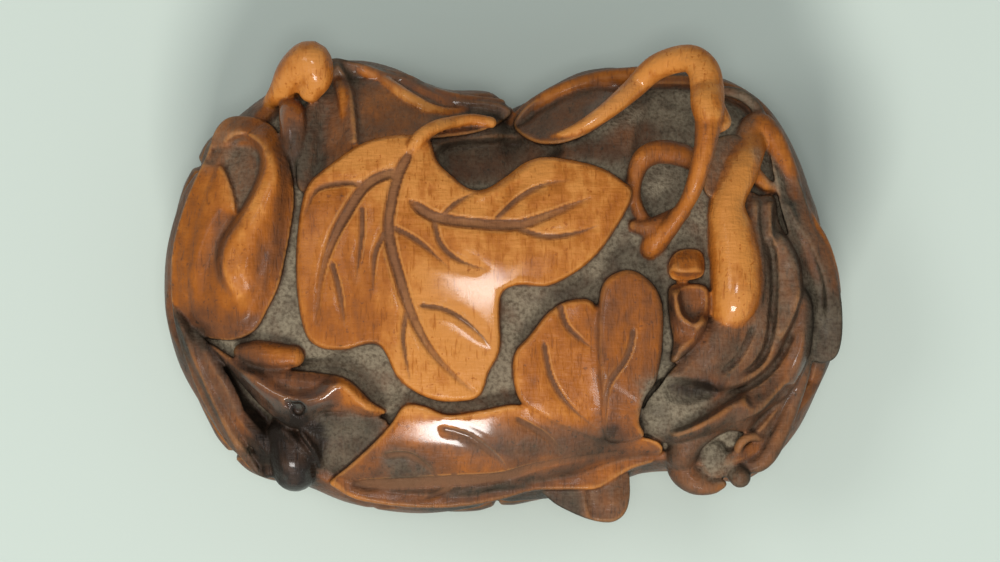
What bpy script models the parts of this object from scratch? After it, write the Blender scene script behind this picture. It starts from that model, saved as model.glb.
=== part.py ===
"""Carved boxwood netsuke: a clump of gourd pods, leaves, stems and tendrils cut from one block."""

import math

import bmesh
import bpy
import numpy as np

# Driving dimensions, in metres
LENGTH = 0.050
MID_HEIGHT = 0.0105
DOME_RISE = 0.0078
FLAT_CUT = 0.0006
LEAF_LIFT = 0.0017
LEAF_ROOT = 0.0014
LEAF_EDGE_ROUND = 0.0004
SIDE_LEAF_LIFT = 0.0009
VEIN_DEPTH = 0.00045
VEIN_HALF_WIDTH = 0.00045
FORM_VOXEL = 0.00032
BODY_VOXEL = 0.00036
FACE_BUDGET = 9500

# The plan is drawn from above on a grid of 673 units to the length: x runs right, y runs to the front.
PLAN_LENGTH = 673
PLAN_MIDDLE = (506.5, 283.0)
UNIT = LENGTH / PLAN_LENGTH
SECTION_POWER = 2.2
RIM_SHARE = 0.97
RIM_TUCK = 0.07
RIM_WRAP = 0.0022
SIDE_SPAN = 0.016
PATH_STEPS = 5

BODY_PLAN = (
    (178, 300), (180, 250), (192, 200), (214, 152), (247, 124), (285, 98), (325, 76), (370, 72), (412, 84),
    (450, 102), (490, 106), (514, 121), (545, 102), (585, 82), (640, 78), (700, 84), (738, 100), (764, 124),
    (787, 165), (806, 215), (822, 262), (828, 305), (820, 350), (805, 385), (785, 425), (758, 458),
    (722, 474), (670, 462), (630, 464), (580, 480), (530, 488), (470, 498), (410, 500), (358, 492),
    (318, 478), (275, 470), (242, 450), (218, 412), (196, 370), (184, 335),
)

# Leaves and husks: outline, lift as a share of LEAF_LIFT, dish depth in plan units, the routes of the veins,
# the edge's rounding as a share of LEAF_EDGE_ROUND, and the share of RIM_WRAP that reaches down the side
LEAVES = {
    "centre_leaf": dict(
        outline=(
            (428, 136), (412, 136), (390, 137), (362, 145), (338, 161), (312, 182), (303, 206), (298, 250),
            (299, 295), (307, 333), (322, 347), (346, 349), (370, 343), (384, 348), (397, 374), (413, 389),
            (436, 399), (461, 400), (480, 394), (489, 371), (500, 346), (500, 298), (516, 285), (545, 286),
            (567, 277), (588, 262), (608, 239), (631, 197), (620, 181), (598, 168), (570, 161), (544, 158),
            (524, 164), (504, 179), (485, 190), (468, 189), (450, 175), (437, 161),
        ),
        lift=1.1, dish=-3, veins=(
            ((412, 150), (400, 174), (391, 210), (391, 240), (403, 285), (423, 338), (445, 366), (474, 390)),
            ((401, 172), (370, 183), (352, 205), (334, 238), (321, 280), (317, 322)),
            ((366, 186), (345, 184), (318, 191), (306, 217)),
            ((363, 207), (363, 235), (357, 283)),
            ((333, 262), (341, 292), (346, 325)),
            ((405, 198), (434, 217), (480, 224), (520, 225), (561, 211), (590, 199)),
            ((495, 221), (516, 201), (540, 187), (568, 181)),
            ((515, 228), (545, 237), (574, 234), (597, 226)),
            ((434, 217), (441, 244), (460, 261), (487, 270)),
            ((392, 227), (418, 241), (450, 268)),
            ((420, 305), (447, 310), (472, 326), (491, 346)),
            ((408, 310), (404, 338), (411, 380)),
        ),
    ),
    "bottom_leaf": dict(
        outline=(
            (330, 481), (347, 467), (370, 446), (390, 425), (405, 405), (424, 405), (449, 414), (484, 409),
            (520, 404), (560, 420), (605, 436), (645, 437), (662, 446), (655, 461), (630, 470), (600, 488),
            (565, 490), (532, 491), (500, 500), (460, 507), (420, 508), (385, 505), (355, 499), (335, 488),
        ),
        lift=1.1, dish=0, veins=(
            ((355, 485), (400, 483), (451, 480), (499, 477), (543, 464), (618, 452)),
            ((441, 427), (470, 436), (497, 457), (507, 471)),
            ((515, 417), (545, 435), (562, 456)),
            ((385, 455), (412, 455), (441, 479)),
            ((456, 473), (444, 490), (420, 501)),
        ),
    ),
    "upright_leaf_left": dict(
        outline=(
            (606, 438), (575, 432), (540, 416), (520, 400), (513, 375), (515, 352), (530, 334), (549, 311),
            (570, 300), (592, 302), (602, 330), (606, 380),
        ),
        lift=1.25, dish=-3, veins=(
            ((543, 341), (550, 375), (567, 403), (600, 431)),
            ((559, 304), (567, 327), (593, 349)),
        ),
    ),
    "upright_leaf_right": dict(
        outline=(
            (606, 440), (600, 400), (596, 350), (597, 310), (604, 281), (627, 270), (648, 281), (660, 303),
            (661, 340), (655, 378), (643, 398), (638, 420), (642, 436),
        ),
        lift=1.6, dish=-4, veins=(((632, 328), (626, 355), (607, 386), (604, 430)),),
    ),
    "hanging_leaf": dict(
        outline=(
            (535, 480), (550, 500), (570, 512), (594, 521), (614, 522), (627, 510), (630, 485), (622, 460),
            (570, 462),
        ),
        lift=0.4, wrap=0.0,
    ),
    "back_left_leaf": dict(
        outline=(
            (326, 62), (352, 61), (385, 71), (420, 82), (450, 97), (497, 102), (511, 114), (480, 132),
            (430, 140), (380, 150), (340, 175), (302, 192), (298, 150), (304, 110),
        ),
        lift=0.5, dish=10,
    ),
    "back_right_leaf": dict(
        outline=(
            (514, 122), (530, 102), (562, 87), (592, 74), (622, 69), (650, 69), (656, 80), (636, 98),
            (612, 118), (588, 134), (562, 144), (538, 144), (520, 134),
        ),
        lift=0.5, dish=5,
    ),
    "far_right_leaf": dict(
        outline=(
            (768, 122), (788, 155), (803, 190), (815, 226), (831, 253), (840, 288), (843, 325), (839, 352),
            (828, 362), (811, 357), (806, 320), (800, 280), (790, 240), (780, 205), (772, 165),
        ),
        lift=0.5,
    ),
    "left_pod": dict(
        outline=(
            (171, 300), (171, 260), (175, 235), (183, 208), (193, 183), (206, 156), (214, 132), (227, 118),
            (247, 116), (262, 120), (274, 128), (285, 145), (291, 165), (295, 192), (294, 215), (288, 250),
            (280, 285), (268, 310), (257, 329), (238, 339), (215, 339), (198, 336), (186, 346), (177, 322),
        ),
        lift=0.76, edge=1.75,
    ),
    "right_husk": dict(
        outline=(
            (748, 196), (758, 196), (774, 198), (780, 226), (800, 256), (808, 288), (813, 315), (811, 350),
            (804, 386), (790, 420), (772, 446), (758, 452), (748, 434), (722, 430), (690, 440), (664, 442),
            (646, 434), (640, 418), (648, 398), (660, 384), (668, 372), (690, 350), (706, 330), (720, 300),
            (735, 250),
        ),
        lift=0.53,
    ),
    "bud": dict(
        outline=((667, 266), (674, 253), (688, 249), (701, 254), (702, 274), (688, 280), (671, 279)),
        lift=0.82,
    ),
    "bud_cup": dict(
        outline=(
            (668, 288), (684, 284), (706, 288), (707, 316), (700, 336), (686, 352), (670, 362), (672, 340),
            (668, 315),
        ),
        lift=0.53,
    ),
    "neck_patch": dict(
        outline=((737, 136), (716, 140), (708, 165), (702, 188), (712, 198), (728, 178), (742, 148)),
        lift=0.47,
    ),
    "left_skirt": dict(
        outline=(
            (173, 306), (190, 326), (209, 343), (222, 364), (236, 388), (246, 414), (249, 440), (262, 462),
            (270, 478), (256, 474), (240, 457), (226, 443), (210, 415), (196, 388), (184, 356), (176, 330),
        ),
        lift=0.65,
    ),
    "curled_leaf": dict(
        outline=(
            (209, 343), (240, 361), (275, 368), (325, 373), (350, 380), (372, 401), (387, 411), (370, 416),
            (350, 412), (324, 411), (312, 424), (297, 428), (278, 419), (257, 401), (231, 370),
        ),
        lift=0.76,
    ),
    "cupped_leaf": dict(
        outline=(
            (300, 428), (315, 420), (325, 413), (350, 413), (380, 416), (388, 426), (368, 447), (346, 465),
            (330, 476), (318, 470), (310, 450),
        ),
        lift=0.35, dish=8,
    ),
}
# Curled edges on the leaves and husks: route, width of the slope to the left and to the right of it as seen
# from above, and height, in plan units
CRESTS = {
    "hanging_leaf": (((580, 470), (584, 496), (589, 520), 4, 16, 3),),
    "back_left_leaf": (((333, 62), (342, 73), (348, 86), (352, 102), (355, 130), (356, 150), 7, 20, 11),),
    "far_right_leaf": (((786, 200), (795, 220), (806, 238), (817, 260), (826, 288), (828, 320), 20, 5, 10),),
    "left_pod": (
        ((218, 146), (232, 135), (250, 134), (264, 146), (269, 164), (264, 182), (255, 201), (245, 218),
         (235, 232), (227, 246), (225, 262), (229, 280), (240, 298), 40, 9, 15),
    ),
    "right_husk": (
        ((756, 196), (756, 225), (760, 252), (761, 285), (756, 310), 5, 20, 7),
        ((771, 200), (770, 225), (772, 248), 5, 8, 8),
        ((774, 232), (786, 241), (796, 260), (799, 282), (795, 306), (786, 328), (776, 342), 5, 24, 12),
        ((800, 284), (810, 302), (813, 325), (808, 352), (798, 376), (782, 396), (760, 410), (735, 420),
         5, 22, 11),
        ((748, 396), (731, 404), (712, 416), (690, 428), (668, 436), 18, 8, 12),
    ),
    "bud": (((668, 268), (684, 272), (702, 270), 20, 5, 6),),
    "bud_cup": (
        ((675, 288), (675, 302), (680, 316), (692, 324), (704, 318), 6, 12, 8),
        ((706, 316), (698, 334), (684, 350), (672, 364), 6, 14, 6),
    ),
    "left_skirt": (
        ((176, 312), (184, 336), (194, 360), (206, 386), (218, 412), (230, 438), (244, 458), 28, 5, 9),
    ),
    "curled_leaf": (
        ((236, 366), (260, 384), (284, 397), (302, 401), (322, 397), (336, 386), (346, 385), (368, 403),
         (384, 411), 14, 18, 11),
    ),
    "cupped_leaf": (((298, 430), (308, 440), (316, 452), (322, 470), 5, 10, 6),),
}
# Ridges, or grooves where the height is below zero: route, half width and height in plan units
FOLDS = {
    "hanging_leaf": (((610, 474), (612, 492), (612, 510), 18, 5),),
    "back_left_leaf": (
        ((318, 180), (322, 140), (326, 100), 10, -4),
        ((380, 140), (400, 118), (420, 112), 12, 3),
    ),
    "back_right_leaf": (((540, 128), (575, 112), (610, 92), 14, -4),),
    "left_pod": (
        ((272, 150), (277, 175), (268, 205), (256, 232), (250, 262), (248, 290), 20, 5),
        ((206, 160), (196, 205), (190, 255), (196, 305), 34, 9),
        ((236, 214), (220, 240), (208, 268), (204, 300), 16, -5),
    ),
    "right_husk": (
        ((769, 240), (773, 275), (772, 305), (768, 340), (758, 362), (738, 376), 6, -11),
        ((790, 334), (780, 356), (765, 374), (742, 388), (715, 392), 6, -9),
        ((752, 328), (738, 356), (718, 374), 5, -6),
        ((738, 330), (720, 355), (700, 370), 5, -5),
        ((790, 386), (775, 402), (760, 420), (746, 436), 7, -10),
        ((806, 330), (800, 356), (786, 380), (766, 400), (740, 416), (702, 432), (670, 442), 17, 5),
    ),
    "left_skirt": (((250, 444), (258, 462), (266, 476), 5, -5),),
}
# Sunk fields: outline, depth and width of the sloping edge in plan units
HOLLOWS = {
    "left_pod": (
        (((222, 160), (232, 149), (244, 146), (257, 151), (262, 163), (257, 186), (247, 203), (239, 214),
          (236, 194), (230, 176)), 8, 7),
    ),
    "right_husk": (
        (((640, 402), (662, 386), (690, 382), (720, 390), (742, 388), (736, 398), (714, 409), (690, 420),
          (664, 430), (645, 424)), 7, 18),
    ),
    "bud_cup": ((((680, 291), (701, 291), (701, 312), (688, 316), (681, 306)), 5, 5),),
}

# Stems, tendrils, rolled edges and pods: plan place, rise of the centre over the ground, and radius
STEMS = {
    "knob_stem": ((270, 102, 2, 8), (282, 90, 16, 13), (295, 72, 32, 18), (311, 61, 42, 20),
                  (317, 77, 40, 17), (311, 91, 32, 12)),
    "finger_stem": ((289, 104, 14, 10), (292, 112, 17, 13), (294, 124, 16, 14), (295, 142, 10, 13),
                    (298, 162, 3, 9), (300, 184, -4, 4)),
    "centre_petiole": ((491, 123, 18, 6), (472, 120, 22, 6), (452, 123, 26, 6), (434, 129, 28, 7),
                       (418, 142, 23, 8), (409, 158, 14, 7), (404, 172, 7, 5)),
    "arch": ((545, 142, 6, 4), (575, 132, 12, 7), (606, 112, 22, 9), (632, 90, 32, 11), (656, 68, 50, 13),
             (686, 60, 72, 14), (701, 71, 82, 16), (706, 90, 86, 17), (706, 108, 84, 15)),
    "arch_lip": ((708, 96, 86, 15), (713, 110, 84, 15), (719, 121, 81, 12), (723, 128, 80, 8)),
    "arch_leg": ((707, 108, 82, 15), (705, 130, 76, 13), (702, 150, 68, 11), (697, 170, 58, 10),
                 (691, 190, 46, 9), (682, 208, 30, 8), (669, 226, 14, 10), (655, 240, 2, 13),
                 (648, 250, -4, 11)),
    "tendril_loop": ((712, 176, 4, 8), (692, 161, 10, 11), (674, 154, 13, 12), (656, 153, 13, 12),
                     (642, 160, 11, 11), (635, 174, 6, 9), (633, 194, 2, 7), (638, 212, 0, 7),
                     (650, 232, 0, 8)),
    "tendril_root": ((634, 226, 0, 7), (650, 228, 4, 10), (668, 222, 5, 11), (682, 212, 8, 8)),
    "back_left_rim": ((345, 64, 5, 5), (366, 71, 9, 7), (388, 84, 10, 7), (410, 99, 9, 7),
                      (432, 110, 6, 6), (456, 113, 5, 6), (486, 107, 5, 6), (508, 112, 3, 6)),
    "back_left_outer_rim": ((385, 73, 5, 5), (408, 80, 7, 6), (430, 91, 7, 6), (460, 99, 7, 6),
                            (500, 104, 5, 6)),
    "back_left_rib": ((328, 66, 8, 7), (341, 86, 10, 7), (347, 112, 6, 7), (350, 145, 0, 5)),
    "back_right_rim": ((513, 122, 2, 6), (535, 105, 6, 8), (565, 90, 8, 9), (600, 79, 9, 9),
                       (640, 76, 14, 10)),
    "right_shoulder_rim": ((722, 90, 6, 5), (740, 94, 8, 6), (754, 104, 9, 6), (762, 118, 8, 6)),
    "right_neck": ((744, 140, 1, 12), (757, 126, 6, 15), (771, 136, 8, 13), (781, 154, 8, 11),
                   (790, 176, 6, 10), (797, 200, 5, 8), (804, 222, 3, 7)),
    "neck_bridge": ((742, 160, 5, 9), (752, 172, 5, 8), (764, 184, 4, 7), (776, 190, 3, 5)),
    "far_right_rim": ((798, 200, 5, 6), (812, 224, 7, 7), (823, 246, 8, 8), (831, 272, 8, 8),
                      (836, 292, 6, 6)),
    "low_sweep_band": ((748, 412, -6, 14), (722, 420, -3, 12), (698, 434, 0, 13), (684, 449, 3, 16),
                       (684, 468, 9, 17), (695, 481, 14, 14), (711, 486, 17, 9), (722, 484, 18, 5)),
    "outer_sweep_band": ((809, 350, 10, 6), (802, 378, 12, 7), (791, 408, 14, 8), (779, 436, 16, 9),
                         (766, 458, 17, 9), (752, 466, 15, 8), (740, 462, 12, 6)),
    "right_curl": ((768, 452, 14, 6), (763, 441, 13, 5), (752, 436, 12, 5), (741, 442, 11, 5),
                   (738, 453, 11, 5), (745, 463, 12, 5), (755, 462, 13, 4), (757, 453, 13, 3.5),
                   (751, 450, 12, 3)),
    "left_skirt_root": ((262, 436, -2, 8), (266, 452, 2, 9), (270, 470, 10, 8)),
    "right_pod": ((760, 126, -6, 9), (752, 144, 0, 15), (738, 170, 6, 20), (726, 204, 9, 18),
                  (731, 238, 9, 24), (735, 272, 8, 26), (734, 296, 8, 25), (729, 312, 3, 21)),
    "pod_base": ((731, 318, -4, 20), (718, 338, -4, 24), (702, 358, -5, 23), (684, 372, -8, 14)),
    "bean": ((243, 352, 4, 9), (258, 353, 6, 13), (278, 356, 6, 13), (295, 356, 5, 11)),
    "left_stub": ((284, 434, -5, 17), (292, 450, 0, 24), (295, 469, 10, 23)),
    "front_pocket": ((712, 452, -4, 15), (714, 465, 3, 17)),
    "front_stub": ((732, 468, 10, 10), (740, 477, 20, 11)),
}

# Hollows in the ground between the leaves: outline, depth and edge width in plan units
GROUND_HOLLOWS = (
    (((440, 150), (520, 140), (560, 150), (530, 172), (490, 200), (455, 192)), 18, 12),
    (((640, 120), (690, 100), (700, 150), (680, 210), (640, 215)), 8, 12),
    (((645, 385), (700, 380), (725, 395), (690, 420), (650, 432)), 18, 12),
    (((704, 446), (722, 442), (732, 464), (722, 478), (700, 474)), 12, 8),
    (((300, 360), (385, 352), (398, 395), (370, 402), (340, 375)), 8, 10),
    (((212, 352), (226, 356), (252, 386), (276, 420), (270, 438), (250, 430), (238, 400)), 12, 10),
)
# Leaves that wrap the sides and the underside, in degrees: direction of the root, latitude of root and tip,
# half width, and the turn of the tip
SIDE_LEAVES = (
    (266, 30, -66, 31, 16),
    (318, 26, -58, 30, -18),
    (8, 24, -64, 34, 14),
    (62, 22, -60, 30, -14),
    (112, 22, -64, 27, 12),
    (160, 24, -60, 32, -12),
    (213, 28, -62, 30, -10),
)
SIDE_LATERALS = 4


def clear_scene():
    """Removes every object so that the model starts from nothing."""
    for old in list(bpy.data.objects):
        bpy.data.objects.remove(old, do_unlink=True)


def collection(name):
    """Adds a collection to the scene."""
    made = bpy.data.collections.new(name)
    bpy.context.scene.collection.children.link(made)
    return made


def smooth_path(points, closed=False):
    """Runs a smooth curve through points of any dimension and returns it as an array."""
    knots = np.array(points, float)
    count = len(knots)
    spans = count if closed else count - 1
    steps = np.linspace(0.0, 1.0, PATH_STEPS, endpoint=False)[:, None]
    run = []
    for i in range(spans):
        if closed:
            a, b, c, d = (knots[(i + k) % count] for k in (-1, 0, 1, 2))
        else:
            a, b, c, d = (knots[min(max(i + k, 0), count - 1)] for k in (-1, 0, 1, 2))
        run.append(0.5 * (2 * b + (c - a) * steps + (2 * a - 5 * b + 4 * c - d) * steps**2
                          + (3 * b - 3 * c + d - a) * steps**3))
    if not closed:
        run.append(knots[-1:])
    return np.vstack(run)


def on_plan(points):
    """Turns plan units into metres about the middle of the netsuke."""
    points = np.asarray(points, float)
    x = (points[:, 0] - PLAN_MIDDLE[0]) * UNIT
    y = (PLAN_MIDDLE[1] - points[:, 1]) * UNIT
    return np.column_stack([x, y])


def body_radius(angles):
    """Gives the body's plan radius in each direction."""
    rim = on_plan(smooth_path(BODY_PLAN, closed=True))
    around = np.arctan2(rim[:, 1], rim[:, 0])
    order = np.argsort(around)
    return np.interp(angles, around[order], np.hypot(rim[:, 0], rim[:, 1])[order], period=2 * math.pi)


def plan_reach(xy):
    """Gives each plan point's distance from the middle as a share of the body's radius there."""
    return np.hypot(xy[:, 0], xy[:, 1]) / body_radius(np.arctan2(xy[:, 1], xy[:, 0]))


def section_share(xy):
    """Gives the share of the full rise that the body has over each plan point."""
    reach = np.minimum(plan_reach(xy), RIM_SHARE)
    return (1.0 - reach**SECTION_POWER) ** (1.0 / SECTION_POWER)


def ground_height(xy):
    """Gives the height of the ground between the leaves."""
    return MID_HEIGHT + DOME_RISE * section_share(xy)


def smooth_step(t):
    """Eases from 0 to 1."""
    t = np.clip(t, 0.0, 1.0)
    return t * t * (3.0 - 2.0 * t)


def distance_to_path(xy, path):
    """Measures each point's distance to a path, and the share of the path passed there."""
    best = np.full(len(xy), np.inf)
    share = np.zeros(len(xy))
    spans = len(path) - 1
    for i in range(spans):
        start, run = path[i], path[i + 1] - path[i]
        t = np.clip(((xy - start) @ run) / max(run @ run, 1e-18), 0.0, 1.0)
        gap = np.hypot(*(xy - start - t[:, None] * run).T)
        nearer = gap < best
        best[nearer] = gap[nearer]
        share[nearer] = (i + t[nearer]) / spans
    return best, share


def inside_outline(xy, outline):
    """Tells which points lie inside a closed outline."""
    inside = np.zeros(len(xy), bool)
    for a, b in zip(outline, np.roll(outline, -1, axis=0)):
        crosses = (a[1] > xy[:, 1]) != (b[1] > xy[:, 1])
        with np.errstate(divide="ignore", invalid="ignore"):
            cut = (b[0] - a[0]) * (xy[:, 1] - a[1]) / (b[1] - a[1]) + a[0]
        inside ^= crosses & (xy[:, 0] < cut)
    return inside


def evaluated_mesh(source):
    """Turns an object with its modifiers into a mesh with welded points, and removes the object."""
    depsgraph = bpy.context.evaluated_depsgraph_get()
    mesh = bpy.data.meshes.new_from_object(source.evaluated_get(depsgraph))
    welded = bmesh.new()
    welded.from_mesh(mesh)
    bmesh.ops.remove_doubles(welded, verts=welded.verts, dist=1e-7)
    welded.to_mesh(mesh)
    welded.free()
    bpy.data.objects.remove(source)
    return mesh


def dense_object(name, mesh):
    """Gives a closed form an even skin of small faces."""
    shape = bpy.data.objects.new(name, mesh)
    work.objects.link(shape)
    skin = shape.modifiers.new("skin", "REMESH")
    skin.mode = "VOXEL"
    skin.voxel_size = FORM_VOXEL
    dense = bpy.data.objects.new(name, evaluated_mesh(shape))
    work.objects.link(dense)
    return dense


def read_points(shape):
    """Reads a mesh's points as an array."""
    points = np.empty(len(shape.data.vertices) * 3)
    shape.data.vertices.foreach_get("co", points)
    return points.reshape(-1, 3)


def write_points(shape, points):
    """Writes an array back to a mesh's points."""
    shape.data.vertices.foreach_set("co", points.ravel())
    shape.data.update()


def upward_share(shape):
    """Gives how far each point of a mesh faces up, from 0 to 1."""
    normals = np.empty(len(shape.data.vertices) * 3)
    shape.data.vertices.foreach_get("normal", normals)
    return smooth_step(normals.reshape(-1, 3)[:, 2] / 0.6)


def left_of_path(xy, path):
    """Tells which points lie to the left of a path, as seen from above when moving along it."""
    best = np.full(len(xy), np.inf)
    left = np.zeros(len(xy), bool)
    for i in range(len(path) - 1):
        start, run = path[i], path[i + 1] - path[i]
        t = np.clip(((xy - start) @ run) / max(run @ run, 1e-18), 0.0, 1.0)
        off = xy - start - t[:, None] * run
        gap = np.hypot(*off.T)
        nearer = gap < best
        best[nearer] = gap[nearer]
        left[nearer] = run[0] * off[nearer, 1] > run[1] * off[nearer, 0]
    return left


def crest_height(xy, route, left_width, right_width, height):
    """Gives the height that a curled edge adds at each point."""
    way = on_plan(smooth_path(route))
    gap, share = distance_to_path(xy, way)
    width = np.where(left_of_path(xy, way), left_width, right_width)
    taper = smooth_step(np.minimum(share, 1.0 - share) * 7.0 + 0.15)
    return height * taper * smooth_step(1.0 - gap / width)


def fold_height(xy, route, half_width, height):
    """Gives the height that a ridge, or a groove where height is negative, adds at each point."""
    gap, share = distance_to_path(xy, on_plan(smooth_path(route)))
    taper = smooth_step(np.minimum(share, 1.0 - share) * 6.0 + 0.25)
    return height * taper * smooth_step(1.0 - gap / half_width)


def hollow_depth(xy, outline, depth, edge):
    """Gives the depth of a sunk field at each point."""
    rim = on_plan(smooth_path(outline, closed=True))
    gap, _ = distance_to_path(xy, np.vstack([rim, rim[:1]]))
    signed = np.where(inside_outline(xy, rim), gap, -gap)
    return depth * smooth_step(signed / edge + 0.5)


def body_core():
    """Makes the rounded body that carries the carving, a sphere drawn out to the plan."""
    bpy.ops.mesh.primitive_uv_sphere_add(segments=160, ring_count=96, radius=1.0)
    core = bpy.context.object
    core.name = "core"
    unit = read_points(core)
    angle = np.arctan2(unit[:, 1], unit[:, 0])
    flat = np.hypot(unit[:, 0], unit[:, 1]) ** (2.0 / SECTION_POWER)
    rise = np.abs(unit[:, 2]) ** (2.0 / SECTION_POWER)
    reach = body_radius(angle) * flat
    xy = np.column_stack([np.cos(angle) * reach, np.sin(angle) * reach])
    upper = MID_HEIGHT + DOME_RISE * rise
    lower = MID_HEIGHT - (MID_HEIGHT + FLAT_CUT) * rise
    write_points(core, np.column_stack([xy, np.where(unit[:, 2] >= 0, upper, lower)]))
    dense = dense_object("core", evaluated_mesh(core))
    points = read_points(dense)
    upward = upward_share(dense)
    for outline, depth, edge in GROUND_HOLLOWS:
        points[:, 2] -= upward * hollow_depth(points[:, :2], outline, depth * UNIT, edge * UNIT)
    write_points(dense, points)
    return dense


def leaf_slab(name, outline, top, bottom, drawn_on_plan=True):
    """Cuts a leaf outline as a flat slab with an even skin, from one level to another."""
    rim = smooth_path(outline, closed=True)
    if drawn_on_plan:
        rim = on_plan(rim)
    curve = bpy.data.curves.new(name, "CURVE")
    curve.dimensions = "2D"
    curve.fill_mode = "BOTH"
    curve.extrude = (top - bottom) / 2.0
    spline = curve.splines.new("POLY")
    spline.points.add(len(rim) - 1)
    for point, (x, y) in zip(spline.points, rim):
        point.co = (x, y, 0.0, 1.0)
    spline.use_cyclic_u = True
    blank = bpy.data.objects.new(name, curve)
    work.objects.link(blank)
    slab = dense_object(name, evaluated_mesh(blank))
    points = read_points(slab)
    points[:, 2] += (top + bottom) / 2.0
    write_points(slab, points)
    return slab, rim


def carved_relief(name, xy):
    """Gives the height that a leaf's or husk's own crests, folds and sunk fields add at each point."""
    height = np.zeros(len(xy))
    for *route, left_width, right_width, rise in CRESTS.get(name, ()):
        height += crest_height(xy, route, left_width * UNIT, right_width * UNIT, rise * UNIT)
    for *route, half_width, rise in FOLDS.get(name, ()):
        height += fold_height(xy, route, half_width * UNIT, rise * UNIT)
    for outline, depth, edge in HOLLOWS.get(name, ()):
        height -= hollow_depth(xy, outline, depth * UNIT, edge * UNIT)
    return height


def leaf(name, outline, lift, dish=0, veins=(), edge=1.0, wrap=1.0):
    """Makes a leaf or husk that follows the ground, with a rounded edge, a dished face and its carving."""
    top = LEAF_LIFT * lift
    edge_round = LEAF_EDGE_ROUND * edge
    slab, rim = leaf_slab(name, outline, top, -LEAF_ROOT)
    points = read_points(slab)
    xy = points[:, :2].copy()
    upper = smooth_step(points[:, 2] / max(top, 1e-6))
    inset, _ = distance_to_path(xy, np.vstack([rim, rim[:1]]))
    fall = edge_round * (1.0 - smooth_step(inset / (2.0 * edge_round)))
    sink = dish * UNIT * smooth_step(inset / (abs(dish) * 3.0 * UNIT + 1e-9))
    points[:, 2] += upper * (carved_relief(name, xy) - fall - sink)
    for route in veins:
        points[:, 2] += upper * fold_height(xy, route, VEIN_HALF_WIDTH * 4.0, -VEIN_DEPTH * 0.6)
        points[:, 2] += upper * fold_height(xy, route, VEIN_HALF_WIDTH, -VEIN_DEPTH)
    near_rim = smooth_step((plan_reach(xy) - 0.82) / 0.16)
    root = np.clip(-points[:, 2] / LEAF_ROOT, 0.0, 1.0)
    points[:, :2] *= (1.0 - RIM_TUCK * near_rim * root)[:, None]
    points[:, 2] += ground_height(xy) - near_rim * root * wrap * RIM_WRAP
    write_points(slab, points)
    return slab


def side_place(angle, latitude, lift):
    """Places points on the body's side and underside, lifted off along its outward direction."""
    out = np.cos(latitude) ** (2.0 / SECTION_POWER)
    rise = np.sign(latitude) * np.abs(np.sin(latitude)) ** (2.0 / SECTION_POWER)
    radius = body_radius(angle)
    drop = np.where(latitude >= 0, DOME_RISE, MID_HEIGHT + FLAT_CUT)
    push_out = np.maximum(out, 0.0) ** (SECTION_POWER - 1.0) / radius
    push_up = np.sign(rise) * np.abs(rise) ** (SECTION_POWER - 1.0) / drop
    size = np.hypot(push_out, push_up)
    reach = radius * out + lift * push_out / size
    height = MID_HEIGHT + drop * rise + lift * push_up / size
    return np.column_stack([np.cos(angle) * reach, np.sin(angle) * reach, height])


def side_leaf(index, direction, root, tip, half_width, turn):
    """Makes a pointed leaf with a midrib and side veins, wrapped round the body from its rim downwards."""
    along = SIDE_SPAN * math.radians(abs(tip - root))
    across = 0.4 * LENGTH

    def flat(share, offset):
        """Gives the flat place of a point, by its share of the leaf's length and its offset in degrees."""
        sideways = math.radians(turn * share * share + offset)
        return (across * sideways, -along * share)

    shares = np.linspace(0.0, 1.0, 11)
    widths = half_width * np.sin(math.pi * shares**0.8) ** 0.8
    edge = [flat(t, w) for t, w in zip(shares, widths)]
    edge += [flat(t, -w) for t, w in zip(shares[-2:0:-1], widths[-2:0:-1])]
    slab, rim = leaf_slab("side_leaf_%d" % index, edge, SIDE_LEAF_LIFT, -LEAF_ROOT, drawn_on_plan=False)
    points = read_points(slab)
    xy = points[:, :2].copy()
    outer = smooth_step(points[:, 2] / SIDE_LEAF_LIFT)
    inset, _ = distance_to_path(xy, np.vstack([rim, rim[:1]]))
    points[:, 2] -= outer * LEAF_EDGE_ROUND * (1.0 - smooth_step(inset / (2.0 * LEAF_EDGE_ROUND)))
    routes = [[flat(t, 0.0) for t in (0.1, 0.4, 0.7, 0.95)]]
    for k in range(SIDE_LATERALS):
        start = 0.22 + 0.15 * k
        for side in (-1.0, 1.0):
            reach = side * half_width * (0.72 - 0.12 * k)
            routes.append([flat(start, 0.0), flat(start + 0.07, 0.5 * reach), flat(start + 0.2, reach)])
    for route in routes:
        way = smooth_path(route)
        gap, _ = distance_to_path(xy, way)
        points[:, 2] -= outer * VEIN_DEPTH * smooth_step(1.0 - gap / VEIN_HALF_WIDTH)
    angle = math.radians(direction) + xy[:, 0] / across
    latitude = math.radians(root) + xy[:, 1] / SIDE_SPAN
    write_points(slab, side_place(angle, latitude, points[:, 2]))
    return slab


def rounded_ends(run):
    """Closes both ends of a route of points and radii with a quarter round."""
    quarter = np.linspace(0.0, 0.48 * math.pi, 5)[1:]
    caps = []
    for end, inner in ((run[0], run[1]), (run[-1], run[-2])):
        outward = (end[:3] - inner[:3]) / np.linalg.norm(end[:3] - inner[:3])
        places = end[:3] + outward * end[3] * np.sin(quarter)[:, None]
        caps.append(np.column_stack([places, end[3] * np.cos(quarter)]))
    return np.vstack([caps[0][::-1], run, caps[1]])


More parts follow.
